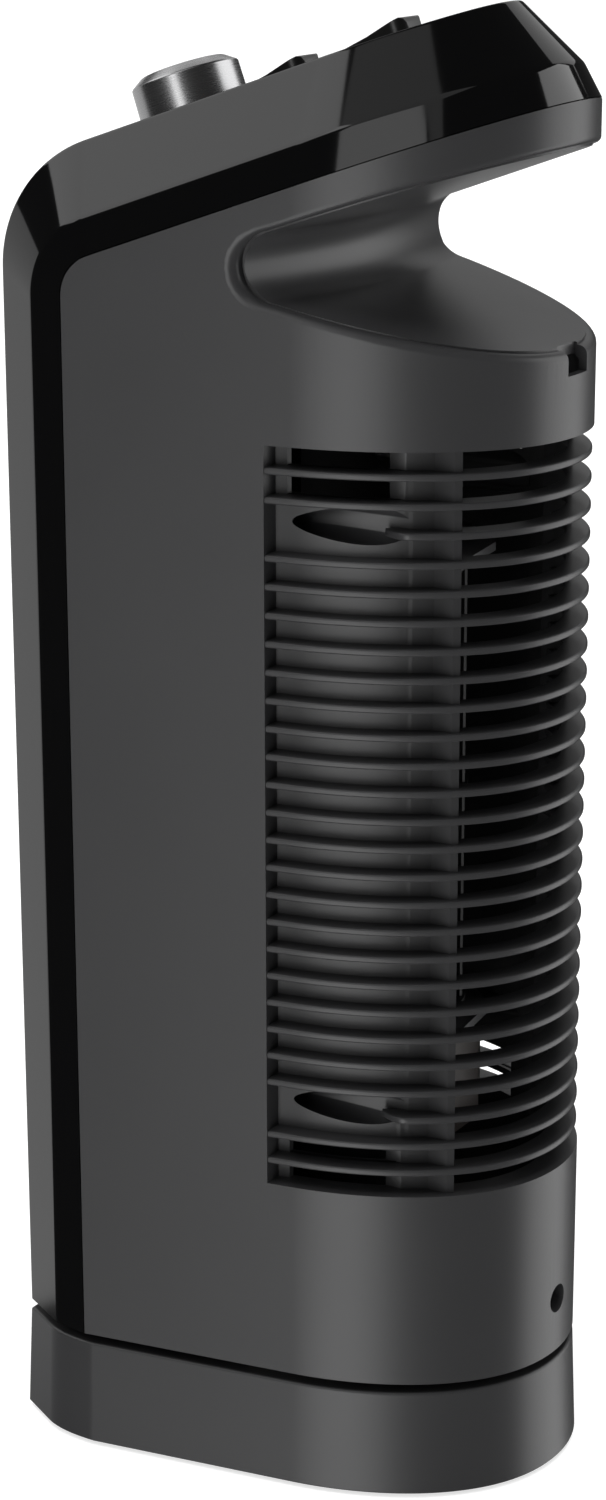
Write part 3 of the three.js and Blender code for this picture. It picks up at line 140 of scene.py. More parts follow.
def grain_group():
    """Moulded skin: a fine bump, a slow drift of gloss and a slight drift of the colour."""
    group = bpy.data.node_groups.new("moulded grain", "ShaderNodeTree")
    group.interface.new_socket("Colour", in_out="INPUT", socket_type="NodeSocketColor")
    for name in ("Grain", "Depth", "Gloss"):
        group.interface.new_socket(name, in_out="INPUT", socket_type="NodeSocketFloat")
    group.interface.new_socket("Colour", in_out="OUTPUT", socket_type="NodeSocketColor")
    group.interface.new_socket("Roughness", in_out="OUTPUT", socket_type="NodeSocketFloat")
    group.interface.new_socket("Normal", in_out="OUTPUT", socket_type="NodeSocketVector")
    n, link = group.nodes, group.links
    given, out = n.new("NodeGroupInput"), n.new("NodeGroupOutput")
    place = n.new("ShaderNodeTexCoord")
    fine = n.new("ShaderNodeTexNoise")
    fine.inputs["Detail"].default_value = 3.0
    link.new(place.outputs["Object"], fine.inputs["Vector"])
    link.new(given.outputs["Grain"], fine.inputs["Scale"])
    broad = n.new("ShaderNodeTexNoise")
    broad.inputs["Scale"].default_value = 22.0
    broad.inputs["Detail"].default_value = 4.0
    link.new(place.outputs["Object"], broad.inputs["Vector"])
    drift = n.new("ShaderNodeMapRange")
    drift.inputs["To Min"].default_value = -0.03
    drift.inputs["To Max"].default_value = 0.03
    link.new(broad.outputs["Fac"], drift.inputs["Value"])
    gloss = n.new("ShaderNodeMath")
    gloss.operation = "ADD"
    link.new(drift.outputs["Result"], gloss.inputs[0])
    link.new(given.outputs["Gloss"], gloss.inputs[1])
    link.new(gloss.outputs["Value"], out.inputs["Roughness"])
    shade = n.new("ShaderNodeMapRange")
    shade.inputs["To Min"].default_value = 0.94
    shade.inputs["To Max"].default_value = 1.06
    link.new(broad.outputs["Fac"], shade.inputs["Value"])
    tint = n.new("ShaderNodeVectorMath")
    tint.operation = "SCALE"
    link.new(given.outputs["Colour"], tint.inputs[0])
    link.new(shade.outputs["Result"], tint.inputs["Scale"])
    link.new(tint.outputs["Vector"], out.inputs["Colour"])
    bump = n.new("ShaderNodeBump")
    bump.inputs["Distance"].default_value = 0.00006
    link.new(fine.outputs["Fac"], bump.inputs["Height"])
    link.new(given.outputs["Depth"], bump.inputs["Strength"])
    link.new(bump.outputs["Normal"], out.inputs["Normal"])
    return group


moulded_grain = grain_group()


def grained(name, colour, rough, grain, depth, metal=0.0, spec=0.5):
    """A material with the moulded grain; grain is how many grains lie in a metre."""
    made = plain_look(name, colour, rough, metal, spec)
    tree = made.node_tree
    use = tree.nodes.new("ShaderNodeGroup")
    use.node_tree = moulded_grain
    use.inputs["Colour"].default_value = (*colour, 1.0)
    use.inputs["Grain"].default_value = grain
    use.inputs["Depth"].default_value = depth
    use.inputs["Gloss"].default_value = rough
    shader = tree.nodes["Principled BSDF"]
    tree.links.new(use.outputs["Colour"], shader.inputs["Base Color"])
    tree.links.new(use.outputs["Roughness"], shader.inputs["Roughness"])
    tree.links.new(use.outputs["Normal"], shader.inputs["Normal"])
    return made


def shading_group():
    """Rounds the shading of a solid and keeps its edges over 33 degrees hard."""
    group = bpy.data.node_groups.new("rounded shading", "GeometryNodeTree")
    group.interface.new_socket("Geometry", in_out="INPUT", socket_type="NodeSocketGeometry")
    group.interface.new_socket("Geometry", in_out="OUTPUT", socket_type="NodeSocketGeometry")
    n, link = group.nodes, group.links
    given, out = n.new("NodeGroupInput"), n.new("NodeGroupOutput")
    joined = n.new("GeometryNodeMergeByDistance")
    joined.inputs["Distance"].default_value = 0.000001
    angle = n.new("GeometryNodeInputMeshEdgeAngle")
    shallow = n.new("FunctionNodeCompare")
    shallow.operation = "LESS_THAN"
    shallow.inputs[1].default_value = math.radians(33.0)
    edges = n.new("GeometryNodeSetShadeSmooth")
    edges.domain = "EDGE"
    faces = n.new("GeometryNodeSetShadeSmooth")
    faces.domain = "FACE"
    link.new(given.outputs[0], joined.inputs["Geometry"])
    link.new(angle.outputs["Unsigned Angle"], shallow.inputs[0])
    link.new(joined.outputs["Geometry"], edges.inputs["Geometry"])
    link.new(shallow.outputs["Result"], edges.inputs["Shade Smooth"])
    link.new(edges.outputs["Geometry"], faces.inputs["Geometry"])
    link.new(faces.outputs["Geometry"], out.inputs[0])
    return group


rounded_shading = shading_group()


def dress(look, *names):
    """Gives the named solids their finish and rounded shading."""
    for name in names:
        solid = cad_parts[name]
        for slot in solid.material_slots:
            slot.link = "OBJECT"
            slot.material = look
        solid.modifiers.new("shading", "NODES").node_group = rounded_shading


dress(grained("foot_rubber", (0.012, 0.012, 0.012), 0.8, 900.0, 0.4, spec=0.3),
      "foot_1", "foot_2", "foot_3", "foot_4")

# ---- base plate and screws ---------------------------------------------------------------------
# A flat plate, moulded in the charcoal plastic of the housing, closes the base from below. Four
# zinc-plated cross-head screws hold it.
charcoal = grained("charcoal_moulding", (0.024, 0.024, 0.025), 0.37, 1400.0, 0.25)
zinc = grained("zinc_plate", (0.52, 0.53, 0.55), 0.38, 1500.0, 0.2, metal=1.0)
dress(charcoal, "base_plate")
dress(zinc, "base_screw_1", "base_screw_2", "base_screw_3", "base_screw_4")

# ---- base skirt --------------------------------------------------------------------------------
# A matte moulded ring with a deck, which flares a little towards the floor. Its plan is the
# tower's: straight sides that close in towards a round back, and a bevelled corner at the front.
MM = 0.001
SHIFT_Y = 3.55
SIDE_HALF, SIDE_TAPER = 56.0, 0.154
FRONT_Y, FACE_HALF = -75.3, 52.5
BEVEL_DEPTH, SHOULDER_DEPTH, BEVEL_INSET = 16.1, 10.9, 3.2
REAR_START, REAR_Y, REAR_SIDE_PULL, REAR_BACK_PULL = 18.0, 76.8, 29.0, 31.0
SHOULDER_Y = FRONT_Y + BEVEL_DEPTH + SHOULDER_DEPTH
WALL = 2.4
BASE_HEIGHT, BASE_FLARE, BASE_EDGE = 32.8, 1.2, 0.9
FOOT_EDGE_IN, FOOT_EDGE_Z, WIDEST_Z = 0.5, 0.9, 1.4
CORNER_REACH, CORNER_BEHIND, CORNER_PULL, CORNER_STEPS = 4.5, 3.0, (1.2, 2.2), 12
CURVE_STEPS = 44


def side_half(y):
    return SIDE_HALF - SIDE_TAPER * y


def rear_curve(t):
    """Point and outward direction on the rear bend, t from the side to the rear centre."""
    a = Vector((side_half(REAR_START), REAR_START))
    b = a + Vector((-SIDE_TAPER, 1.0)).normalized() * REAR_SIDE_PULL
    c, d = Vector((REAR_BACK_PULL, REAR_Y)), Vector((0.0, REAR_Y))
    u = 1.0 - t
    point = a * u**3 + b * (3 * u * u * t) + c * (3 * u * t * t) + d * t**3
    run = (b - a) * (3 * u * u) + (c - b) * (6 * u * t) + (d - c) * (3 * t * t)
    run.normalize()
    return point, Vector((run.y, -run.x))


def half_plan(y0, inset):
    """The left half of the plan from y0 to the rear centre, drawn in by inset."""
    points = [(side_half(y0) - inset * math.hypot(1.0, SIDE_TAPER), y0)]
    for i in range(CURVE_STEPS + 1):
        point, out = rear_curve(i / CURVE_STEPS)
        spot = point - out * inset
        points.append((max(0.0, spot.x), spot.y))
    return points


def mirrored(points):
    return [(-x, y) for x, y in reversed(points)]


def full_plan(y0, inset):
    half = half_plan(y0, inset)
    return half + mirrored(half[:-1])


def link_mesh(name, verts, faces):
    """A closed mesh from points in millimetres, its faces turned outwards."""
    mesh = bpy.data.meshes.new(name)
    mesh.from_pydata([(x * MM, (y + SHIFT_Y) * MM, z * MM) for x, y, z in verts], [], faces)
    work = bmesh.new()
    work.from_mesh(mesh)
    bmesh.ops.remove_doubles(work, verts=work.verts, dist=1e-7)
    bmesh.ops.dissolve_degenerate(work, edges=work.edges, dist=1e-8)
    bmesh.ops.recalc_face_normals(work, faces=work.faces)
    work.to_mesh(mesh)
    work.free()
    made = bpy.data.objects.new(name, mesh)
    bpy.context.scene.collection.objects.link(made)
    return made


def skin(name, rings, closed=False):
    """A solid through rings of points; closed joins the last ring to the first."""
    n, m = len(rings[0]), len(rings)
    faces = []
    for j in range(m if closed else m - 1):
        for i in range(n):
            k, q = (i + 1) % n, (j + 1) % m
            faces.append((j * n + i, j * n + k, q * n + k, q * n + i))
    if not closed:
        faces += [tuple(range(n))[::-1], tuple(range((m - 1) * n, m * n))]
    return link_mesh(name, [p for ring in rings for p in ring], faces)


def drop(obj):
    mesh = obj.data
    bpy.data.objects.remove(obj)
    bpy.data.meshes.remove(mesh)


def baked(obj):
    """Puts the object's modifiers into its mesh."""
    graph = bpy.context.evaluated_depsgraph_get()
    mesh = bpy.data.meshes.new_from_object(obj.evaluated_get(graph))
    obj.modifiers.clear()
    old, obj.data = obj.data, mesh
    bpy.data.meshes.remove(old)
    return obj


def combined(body, tools, how="DIFFERENCE"):
    """Cuts the tools from the body, or joins them to it, one after the other."""
    for tool in tools:
        step = body.modifiers.new("combine", "BOOLEAN")
        step.operation = how
        step.solver = "MANIFOLD"
        step.object = tool
        baked(body)
        drop(tool)
    return body


def smooth(obj, degrees=38.0):
    """Rounds the shading, with the broad faces leading, and keeps the hard edges."""
    obj.data.shade_smooth()
    obj.data.set_sharp_from_angle(angle=math.radians(degrees))
    lead = obj.modifiers.new("lead", "WEIGHTED_NORMAL")
    lead.keep_sharp = True
    return baked(obj)


def fit_piece(obj, look, body, slot, *replaced):
    """Gives a finished piece its look, the body it moves with and the solids it stands for."""
    obj.data.materials.clear()
    obj.data.materials.append(look)
    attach(obj, body)
    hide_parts(*replaced)


def skirt_plan(inset):
    """The base's plan, with the upright corner behind each front bevel rounded."""
    half = half_plan(SHOULDER_Y + CORNER_BEHIND, inset)
    front = Vector((FACE_HALF - inset * 0.6, FRONT_Y + inset))
    knee_y = FRONT_Y + BEVEL_DEPTH
    knee = Vector((side_half(knee_y) - BEVEL_INSET - inset, knee_y + inset * 0.3))
    start = knee + (front - knee).normalized() * CORNER_REACH
    pull = knee + Vector(CORNER_PULL)
    right = [tuple(front)]
    for k in range(CORNER_STEPS + 1):
        t = k / CORNER_STEPS
        spot = start * (1 - t) ** 2 + pull * (2 * t * (1 - t)) + Vector(half[0]) * t * t
        right.append(tuple(spot))
    right += half[1:]
    return right + mirrored(right[:-1])


def skirt_ring(spread, z):
    return [(x, y, z) for x, y in skirt_plan(-spread)]


rings = [skirt_ring(BASE_FLARE - FOOT_EDGE_IN, FOOT_EDGE_Z), skirt_ring(BASE_FLARE, WIDEST_Z)]
rings.append(skirt_ring(0.0, BASE_HEIGHT - BASE_EDGE))
for k in range(1, 6):
    a = math.pi / 2 * k / 5
    drawn = BASE_EDGE * (1 - math.cos(a))
    rings.append(skirt_ring(-drawn, BASE_HEIGHT - BASE_EDGE * (1 - math.sin(a))))
base_skirt = skin("base_skirt", rings)
hollow = [skirt_ring(BASE_FLARE - WALL, -1.0), skirt_ring(-WALL, BASE_HEIGHT - WALL)]
combined(base_skirt, [skin("hollow", hollow)])
fit_piece(smooth(base_skirt), charcoal, "base", "matte", "base_shell")

# ---- swing drive -------------------------------------------------------------------------------
# A geared motor in the base turns a nylon crank. A steel link takes its throw to the plate under
# the tower's hub, and the tower slides round on a nylon ring. A tip switch stands beside it.
steel = grained("plain_steel", (0.45, 0.46, 0.47), 0.35, 1500.0, 0.2, metal=1.0)
nylon = grained("natural_nylon", (0.62, 0.60, 0.55), 0.5, 1200.0, 0.2)
inner_black = grained("black_moulding", (0.010, 0.010, 0.010), 0.5, 1100.0, 0.25)
dress(steel, "swing_motor", "pivot_retainer", "swing_link")
dress(nylon, "swing_crank", "turntable_ring")
dress(inner_black, "tip_over_switch")

# ---- tower floor -------------------------------------------------------------------------------
# A black moulding that closes the tower from below. Its hub goes down through the base's deck and
# turns in it.
dress(inner_black, "tower_floor")

# ---- blower ------------------------------------------------------------------------------------
# A long blade wheel turns in a moulded scroll. Its motor, with a varnished copper winding, hangs
# under it on a zinc-plated bracket, and a nylon bush holds the upper end of the shaft.
# The scroll's grey is lighter than the other black mouldings. This is painted light, standing in for the
# light that reaches it through the intake.
scroll_painted_light = grained("scroll_moulding_painted_light", (0.05, 0.05, 0.052), 0.32, 1100.0, 0.2)
varnished = grained("varnished_winding", (0.020, 0.013, 0.010), 0.4, 2200.0, 0.6)
dress(scroll_painted_light, "blower_housing")
dress(inner_black, "fan_wheel")
dress(steel, "fan_shaft", "fan_motor")
dress(varnished, "motor_coil")
dress(zinc, "motor_bracket")
dress(nylon, "bearing_bush")

# ---- heating blocks ----------------------------------------------------------------------------
# Three ceramic blocks with folded aluminium fins stand in a pale heat-proof frame, and a cut-out
# on the frame breaks the current when it gets too hot.
fin_metal = grained("fin_aluminium", (0.66, 0.67, 0.68), 0.32, 1800.0, 0.2, metal=1.0)
dress(grained("heat_proof_moulding", (0.55, 0.50, 0.42), 0.6, 1200.0, 0.3), "heater_frame")
dress(fin_metal, "ptc_bank_1", "ptc_bank_2", "ptc_bank_3")
dress(zinc, "thermal_cutout")

# ---- outlet grille -----------------------------------------------------------------------------
# Level slats in a black frame, moulded in one and set into the front face. The warm air leaves
# through them.
dress(grained("grille_black", (0.012, 0.012, 0.012), 0.42, 1100.0, 0.2), "outlet_grille")

# ---- rear housing ------------------------------------------------------------------------------
# One matte charcoal moulding: the sides, the back, the deck over the carry recess and the sunk
# field of the air intake. Two wells on each side lead to the screws that hold the front frame.
TOWER_Z = BASE_HEIGHT + 2.85
PANEL_Z, PANEL_SLOPE = 403.0, 0.36
TILT = math.atan(PANEL_SLOPE)
SEAT = 0.3
BEND_INNER, SHOULDER_DROP = 12.0, 32.3
GRIP_MIDDLE, GRIP_SWEEP, GRIP_STEPS = 2.0, 8.0, 30
GRIP_NOSE_Y, GRIP_NOSE_Z, GRIP_NOSE_R, GRIP_SHELF_DROP = 19.0, 355.6, 9.8, 0.24
GRIP_ROUND_LOW, GRIP_ROUND_NOSE, GRIP_ROUND_TOP = 2.4, 3.6, 1.8
RIM_STEPS, RIM_SWELL_RUN, RIM_SWELL = 24, 1.1, 0.9
RIM_OUT, RIM_OUT_LAST, RIM_BEYOND, RIM_OVERCUT = 1.2, 1.4, 1.25, 0.02
RIB_PITCH, RIB_THICK, RIB_COUNT, RIB_TOP_Z, FIRST_SLOT = 8.0, 2.0, 26, 302.4, 6.0
GRILLE_START_Y, GRILLE_DEPTH, BACKING_THICK = 10.7, 6.1, 2.1
FIELD_LEAD, FIELD_PAST, BACKING_LEAD, BACKING_LAP, CHEEK_THICK = 5.0, 3.0, 4.0, 2.0, 2.1
INTAKE_HALF, INTAKE_FROM_Y = 31.8, 20.0
WINDOW_LEAD, WINDOW_END_Y, WINDOW_X = 3.4, 47.9, (38.0, 60.0)
WELL_X, WELL_R, WELL_LIFT, WELL_SEAT_Y = 42.2, 5.25, 0.6, 9.0
WELL_WALL, WELL_BACK, WELL_SHORT, WELL_CORE_HALF, WELL_LAP = 1.4, 2.2, 4.0, 20.0, 0.3
REAR_SCREW_Z, REAR_SCREW_HOLE, REAR_SCREW_DEPTH = 52.1, 4.3, 5.5
BOSS_WALL, BOSS_LENGTH = 1.8, 16.0
NOTCH_HALF, NOTCH_DEEP, NOTCH_DROP, NOTCH_RISE = 5.5, 4.2, 6.5, 3.0
GRILLE_Z1, GRILLE_Z0 = RIB_TOP_Z + FIRST_SLOT, RIB_TOP_Z - RIB_COUNT * RIB_PITCH
HALF_RIBS = (2, RIB_COUNT - 3)
WINDOW_SLOTS = (0, 1, RIB_COUNT - 1, RIB_COUNT)
REACH, HEADROOM = 90.0, 60.0


def prism(name, points, z0, z1):
    """A solid that stands on a plan of x, y points."""
    return skin(name, [[(x, y, z) for x, y in points] for z in (z0, z1)])


def prism_x(name, points, x0, x1):
    """A solid that runs across the heater, from a side view of y, z points."""
    return skin(name, [[(x, y, z) for y, z in points] for x in (x0, x1)])


def box(name, x0, x1, y0, y1, z0, z1):
    return prism(name, [(x0, y0), (x1, y0), (x1, y1), (x0, y1)], z0, z1)


def round_bar(name, x, z, r, y0, y1, sides=48):
    """A round bar along the heater's depth."""
    turns = [2 * math.pi * k / sides for k in range(sides)]
    ends = [[(x + r * math.cos(a), y, z + r * math.sin(a)) for a in turns] for y in (y0, y1)]
    return skin(name, ends)


def shoulder_side(gap, y1, z0, steps=24):
    """Side view of the housing under the front frame: up the shoulder, round it, along the top."""
    y0 = SHOULDER_Y + gap
    top = PANEL_Z - SHOULDER_DROP - gap / math.cos(TILT)
    turn = math.pi / 2 - TILT
    reach = BEND_INNER * math.tan(turn / 2)
    points = [(y0, z0)]
    for k in range(steps + 1):
        a = turn * k / steps
        z = top + PANEL_SLOPE * y0 - reach + BEND_INNER * math.sin(a)
        points.append((y0 + BEND_INNER * (1 - math.cos(a)), z))
    return points + [(y1, top + PANEL_SLOPE * y1), (y1, z0)]


def grip_side(grow, steps=36):
    """Side view of the carry recess, drawn larger by grow."""
    r = GRIP_NOSE_R + grow
    up = math.pi / 2 + TILT
    down = math.pi * 1.5 - math.atan(GRIP_SHELF_DROP)
    points = []
    for k in range(steps + 1):
        a = up + (down - up) * k / steps
        points.append((GRIP_NOSE_Y + r * math.cos(a), GRIP_NOSE_Z + r * math.sin(a)))
    end = REAR_Y + 20
    (ty, tz), (by, bz) = points[0], points[-1]
    first = (end, tz + PANEL_SLOPE * (end - ty))
    last = (end, bz - GRIP_SHELF_DROP * (end - by))
    return [first] + points + [last]


def grip_bar(grow):
    """The recess as a solid bar across the heater, its nose further forward towards the sides."""
    rings = []
    for k in range(-GRIP_STEPS, GRIP_STEPS + 1):
        x = REACH * k / GRIP_STEPS
        rings.append([(x, y + grip_shift(x), z) for y, z in grip_side(grow)])
    return skin("grip", rings)


def grip_shift(x):
    return GRIP_MIDDLE - GRIP_SWEEP * min(1.0, abs(x) / SIDE_HALF) ** 2


def wall_table():
    """Lengths along the outer wall from the rear centre, each with its point and direction out."""
    rows, s, before = [], 0.0, None
    for i in range(CURVE_STEPS, -1, -1):
        point, out = rear_curve(i / CURVE_STEPS)
        if before is not None:
            s += (point - before).length
        rows.append((s, point, out))
        before = point
    start = Vector((side_half(SHOULDER_Y), SHOULDER_Y))
    side = Vector((1.0, SIDE_TAPER)).normalized()
    rows.append((s + (start - before).length, start, side))
    return rows


WALL_TABLE = wall_table()


def wall_point(s, depth):
    """The spot on the wall at length s, to the left or right, and depth below the surface."""
    d, side = abs(s), (1.0 if s >= 0 else -1.0)
    i = 1
    while i < len(WALL_TABLE) - 1 and WALL_TABLE[i][0] < d:
        i += 1
    (s0, p0, n0), (s1, p1, n1) = WALL_TABLE[i - 1], WALL_TABLE[i]
    k = (d - s0) / (s1 - s0)
    spot = p0.lerp(p1, k) - n0.lerp(n1, k).normalized() * depth
    return side * spot.x, spot.y


def wall_length(y):
    for (s0, p0, _), (s1, p1, _) in zip(WALL_TABLE, WALL_TABLE[1:]):
        if p1.y <= y:
            return s0 + (s1 - s0) * (p0.y - y) / max(1e-9, p0.y - p1.y)
    return WALL_TABLE[-1][0]


def grip_rim():
    """The recess's edge on the wall, each point with the radius that its edge is rounded to."""
    nose = [(y + grip_shift(SIDE_HALF), z) for y, z in grip_side(0)[1:-1]]
    low, high = nose[-1], nose[0]
    right = []
    for k in range(RIM_STEPS):
        s = wall_length(low[0]) * k / RIM_STEPS
        x, y = wall_point(s, 0)
        run = y - low[0] - grip_shift(x) + grip_shift(SIDE_HALF)
        right.append((s, low[1] - GRIP_SHELF_DROP * run, GRIP_ROUND_LOW))
    for i, (y, z) in enumerate(reversed(nose)):
        k = i / (len(nose) - 1)
        swell = math.sin(math.pi * min(1.0, k * RIM_SWELL_RUN))
        flat = GRIP_ROUND_LOW + (GRIP_ROUND_TOP - GRIP_ROUND_LOW) * k
        right.append((wall_length(y), z, flat + (GRIP_ROUND_NOSE - flat) * swell * RIM_SWELL))
    for k in range(RIM_STEPS - 1, -1, -1):
        s = wall_length(high[0]) * k / RIM_STEPS
        x, y = wall_point(s, 0)
        run = y - high[0] - grip_shift(x) + grip_shift(SIDE_HALF)
        right.append((s, high[1] + PANEL_SLOPE * run, GRIP_ROUND_TOP))
    return right + [(-s, z, r) for s, z, r in reversed(right[1:-1])]


def grip_rounding(kept):
    """A bar round the rim: what rounding takes off, or the wall that is kept behind it."""
    rim = grip_rim()
    rings = []
    for i, (s, z, r) in enumerate(rim):
        ps, pz, _ = rim[i - 1]
        qs, qz, _ = rim[(i + 1) % len(rim)]
        length = math.hypot(qs - ps, qz - pz)
        out_s, out_z = (qz - pz) / length, -(qs - ps) / length
        far = r + WALL
        if kept:
            section = [(-1, -1), (far, -1), (far, WALL * 0.6), (WALL * 0.6, far), (-1, far)]
        else:
            end, over = r * RIM_BEYOND, r * RIM_OVERCUT
            section = [(-RIM_OUT, -RIM_OUT), (end, -RIM_OUT), (end, -over)]
            for k in range(9):
                a = math.pi / 2 * k / 8
                section.append((r - r * math.sin(a), r - r * math.cos(a)))
            section += [(-over, end), (-RIM_OUT_LAST, end)]
        rings.append([(*wall_point(s + out_s * o, d), z + out_z * o) for o, d in section])
    return skin("rim", rings, closed=True)


def wall_band(name, y0, outer, inner, z0, z1):
    """A band that follows the wall, between two depths below its surface."""
    a, b = full_plan(y0, outer), full_plan(y0, inner)
    return prism(name, a + b[::-1], z0, z1)


def clipped(body, *limits):
    return combined(body, [box("clip", *limits)], "INTERSECT")


y0, deep = GRILLE_START_Y, GRILLE_DEPTH + BACKING_THICK
low, high = GRILLE_Z0 - BACKING_LAP, GRILLE_Z1 + BACKING_LAP
housing = prism("rear_housing", full_plan(SHOULDER_Y, 0), TOWER_Z, PANEL_Z + HEADROOM)
under_frame = prism_x("side", shoulder_side(SEAT, REAR_Y + 10, TOWER_Z), -REACH, REACH)
combined(housing, [under_frame], "INTERSECT")
cavity = prism("cavity", full_plan(SHOULDER_Y - 6, WALL), TOWER_Z - 1, PANEL_Z + HEADROOM + 1)
combined(cavity, [grip_bar(WALL), grip_rounding(True)])
combined(housing, [cavity, grip_bar(0), grip_rounding(False)])
field = wall_band("field", y0 - FIELD_LEAD, -FIELD_PAST, WALL + FIELD_PAST, GRILLE_Z0, GRILLE_Z1)
combined(housing, [clipped(field, -REACH, REACH, y0, REACH, GRILLE_Z0 - 1, GRILLE_Z1 + 1)])
backing = wall_band("backing", y0 - BACKING_LEAD, GRILLE_DEPTH, deep, low, high)
intake = box("intake", -INTAKE_HALF, INTAKE_HALF, INTAKE_FROM_Y, REACH, GRILLE_Z0, GRILLE_Z1)
combined(backing, [intake])
cheeks = wall_band("cheeks", y0 - BACKING_LEAD, 1, deep, low, high)
clipped(cheeks, -REACH, REACH, y0 - CHEEK_THICK, y0, low - 1, high + 1)
sill = wall_band("sill", y0 - CHEEK_THICK, 1, deep, low, GRILLE_Z0)
lintel = wall_band("lintel", y0 - CHEEK_THICK, 1, deep, GRILLE_Z1, high)
combined(housing, [backing, cheeks, sill, lintel], "UNION")
for side in (1, -1):
    for i in HALF_RIBS:
        x, z = side * WELL_X, RIB_TOP_Z - i * RIB_PITCH + WELL_LIFT
        tube_end = WINDOW_END_Y - WELL_SHORT
        tube = round_bar("tube", x, z, WELL_R + WELL_WALL, WELL_SEAT_Y - WELL_BACK, tube_end)
        inside = full_plan(SHOULDER_Y, GRILLE_DEPTH + WELL_LAP)
        core = prism("core", inside, z - WELL_CORE_HALF, z + WELL_CORE_HALF)
        combined(housing, [combined(tube, [core], "INTERSECT")], "UNION")
        combined(housing, [round_bar("bore", x, z, WELL_R, WELL_SEAT_Y, REAR_Y)])
    x0, x1 = sorted(side * x for x in WINDOW_X)
    for i in WINDOW_SLOTS:
        z = RIB_TOP_Z - i * RIB_PITCH
        window = box("window", x0, x1, y0 + WINDOW_LEAD, WINDOW_END_Y, z, z + RIB_PITCH - RIB_THICK)
        combined(housing, [window])
boss_r = REAR_SCREW_HOLE + BOSS_WALL
combined(housing, [round_bar("boss", 0, REAR_SCREW_Z, boss_r, REAR_Y - BOSS_LENGTH, REAR_Y - 1)], "UNION")
hole_y = REAR_Y - REAR_SCREW_DEPTH
combined(housing, [round_bar("hole", 0, REAR_SCREW_Z, REAR_SCREW_HOLE, hole_y, REAR_Y + 5)])
shelf_z = GRIP_NOSE_Z - GRIP_NOSE_R - GRIP_SHELF_DROP * (REAR_Y - GRIP_NOSE_Y)
notch_y, notch_z0, notch_z1 = REAR_Y - NOTCH_DEEP, shelf_z - NOTCH_DROP, shelf_z + NOTCH_RISE
combined(housing, [box("notch", -NOTCH_HALF, NOTCH_HALF, notch_y, REAR_Y + 3, notch_z0, notch_z1)])
fit_piece(smooth(housing), charcoal, "tower", "matte", "rear_shell")
dress(zinc, "rear_screw", "well_screw_1", "well_screw_2", "well_screw_3", "well_screw_4")

# ---- louvres -----------------------------------------------------------------------------------
# The finger-safe ribs of the air intake, moulded with the housing. Their outer edges are rounded,
# two of them stop short of the screw wells, and a thin upright fin ties them on each side.
RIB_SINK, RIB_EDGE, RIB_ROOT, RIB_LOW, RIB_STEPS = 0.4, 0.68, 1.0, 1.2, 60
RAMP, RAMP_BEFORE_WINDOW_END = 7.0, 5.0
FIN_THICK, FIN_SINK, FIN_OUT, FIN_FROM_Y = 1.4, 2.4, 1.3, 40.0


def rib(z_top, first=0.0, ramp=0.0):
    """One rib round the back; first is how far its ends are drawn back, ramp how they rise."""
    deep = GRILLE_DEPTH + RIB_ROOT
    reach = wall_length(GRILLE_START_Y - 1.0) - first
    turns = [math.pi / 2 * k / 4 for k in range(5)]
    rings = []
    for k in range(-RIB_STEPS, RIB_STEPS + 1):
        s = reach * k / RIB_STEPS
        rise = min(1.0, (reach - abs(s)) / ramp) if ramp else 1.0
        lowest = deep - RIB_LOW
        face = lowest + (RIB_SINK - lowest) * math.sin(rise * math.pi / 2) + RIB_EDGE
        section = [(deep, 0.0)]
        section += [(face - RIB_EDGE * math.sin(a), RIB_EDGE * (1 - math.cos(a))) for a in turns]
        top = RIB_THICK - RIB_EDGE
        section += [(face - RIB_EDGE * math.cos(a), top + RIB_EDGE * math.sin(a)) for a in turns]
        section.append((deep, RIB_THICK))
        rings.append([(*wall_point(s, d), z_top - RIB_THICK + h) for d, h in section])
    return skin("rib", rings)


def gathered(parts):
    """The parts as one mesh, in the first part's object."""
    work = bmesh.new()
    work.from_mesh(parts[0].data)
    for part in parts[1:]:
        work.from_mesh(part.data)
        drop(part)
    work.to_mesh(parts[0].data)
    work.free()
    return parts[0]


ribs = []
for i in range(RIB_COUNT):
    if i in HALF_RIBS:
        ramp_end = WINDOW_END_Y - RAMP_BEFORE_WINDOW_END
        short = wall_length(GRILLE_START_Y - 1.0) - wall_length(ramp_end)
        ribs.append(rib(RIB_TOP_Z - i * RIB_PITCH, short, RAMP))
    else:
        ribs.append(rib(RIB_TOP_Z - i * RIB_PITCH))
for side in (1, -1):
    x, half = side * (INTAKE_HALF + FIN_OUT), FIN_THICK / 2
    fin = wall_band("fin", y0, FIN_SINK, GRILLE_DEPTH + RIB_ROOT, GRILLE_Z0 - 1, GRILLE_Z1 + 1)
    ribs.append(clipped(fin, x - half, x + half, FIN_FROM_Y, REACH, GRILLE_Z0 - 2, GRILLE_Z1 + 2))
louvres = gathered(ribs)
louvres.name = "rear_louvres"
fit_piece(smooth(louvres), charcoal, "tower", "matte", "rear_shell")

# ---- front frame -------------------------------------------------------------------------------
# A piano-black moulding over the face and the sloped top. Two facets lead from the face to the
# housing, each edge just broken, and it is polished all over.
BEVEL_DROP, BEND_OUTER, BEND_MIDDLE = 21.5, 38.0, 24.0
FACE_INSET, TOP_INSET, MIDDLE_REAR_INSET, FACE_BULGE = 15.1, 22.0, 5.0, 10.0
BEZEL_WALL, EDGE_ROUND = 2.6, 0.8
HOLLOW_FACE_INSETS, HOLLOW_MIDDLE_INSETS = (16.4, 23.6), (5.8, 7.6)
HOLLOW_MIDDLE_STEP, HOLLOW_BACK_STEP = 1.04, 1.0
OUTLET_HALF, OUTLET_Z0, OUTLET_Z1, OUTLET_Y = 34.0, 92.0, 312.0, (-110.0, -60.0)
PANEL_HALF, PANEL_FRONT, PANEL_REAR, PANEL_CUT = 24.0, -62.0, 33.0, 6.0
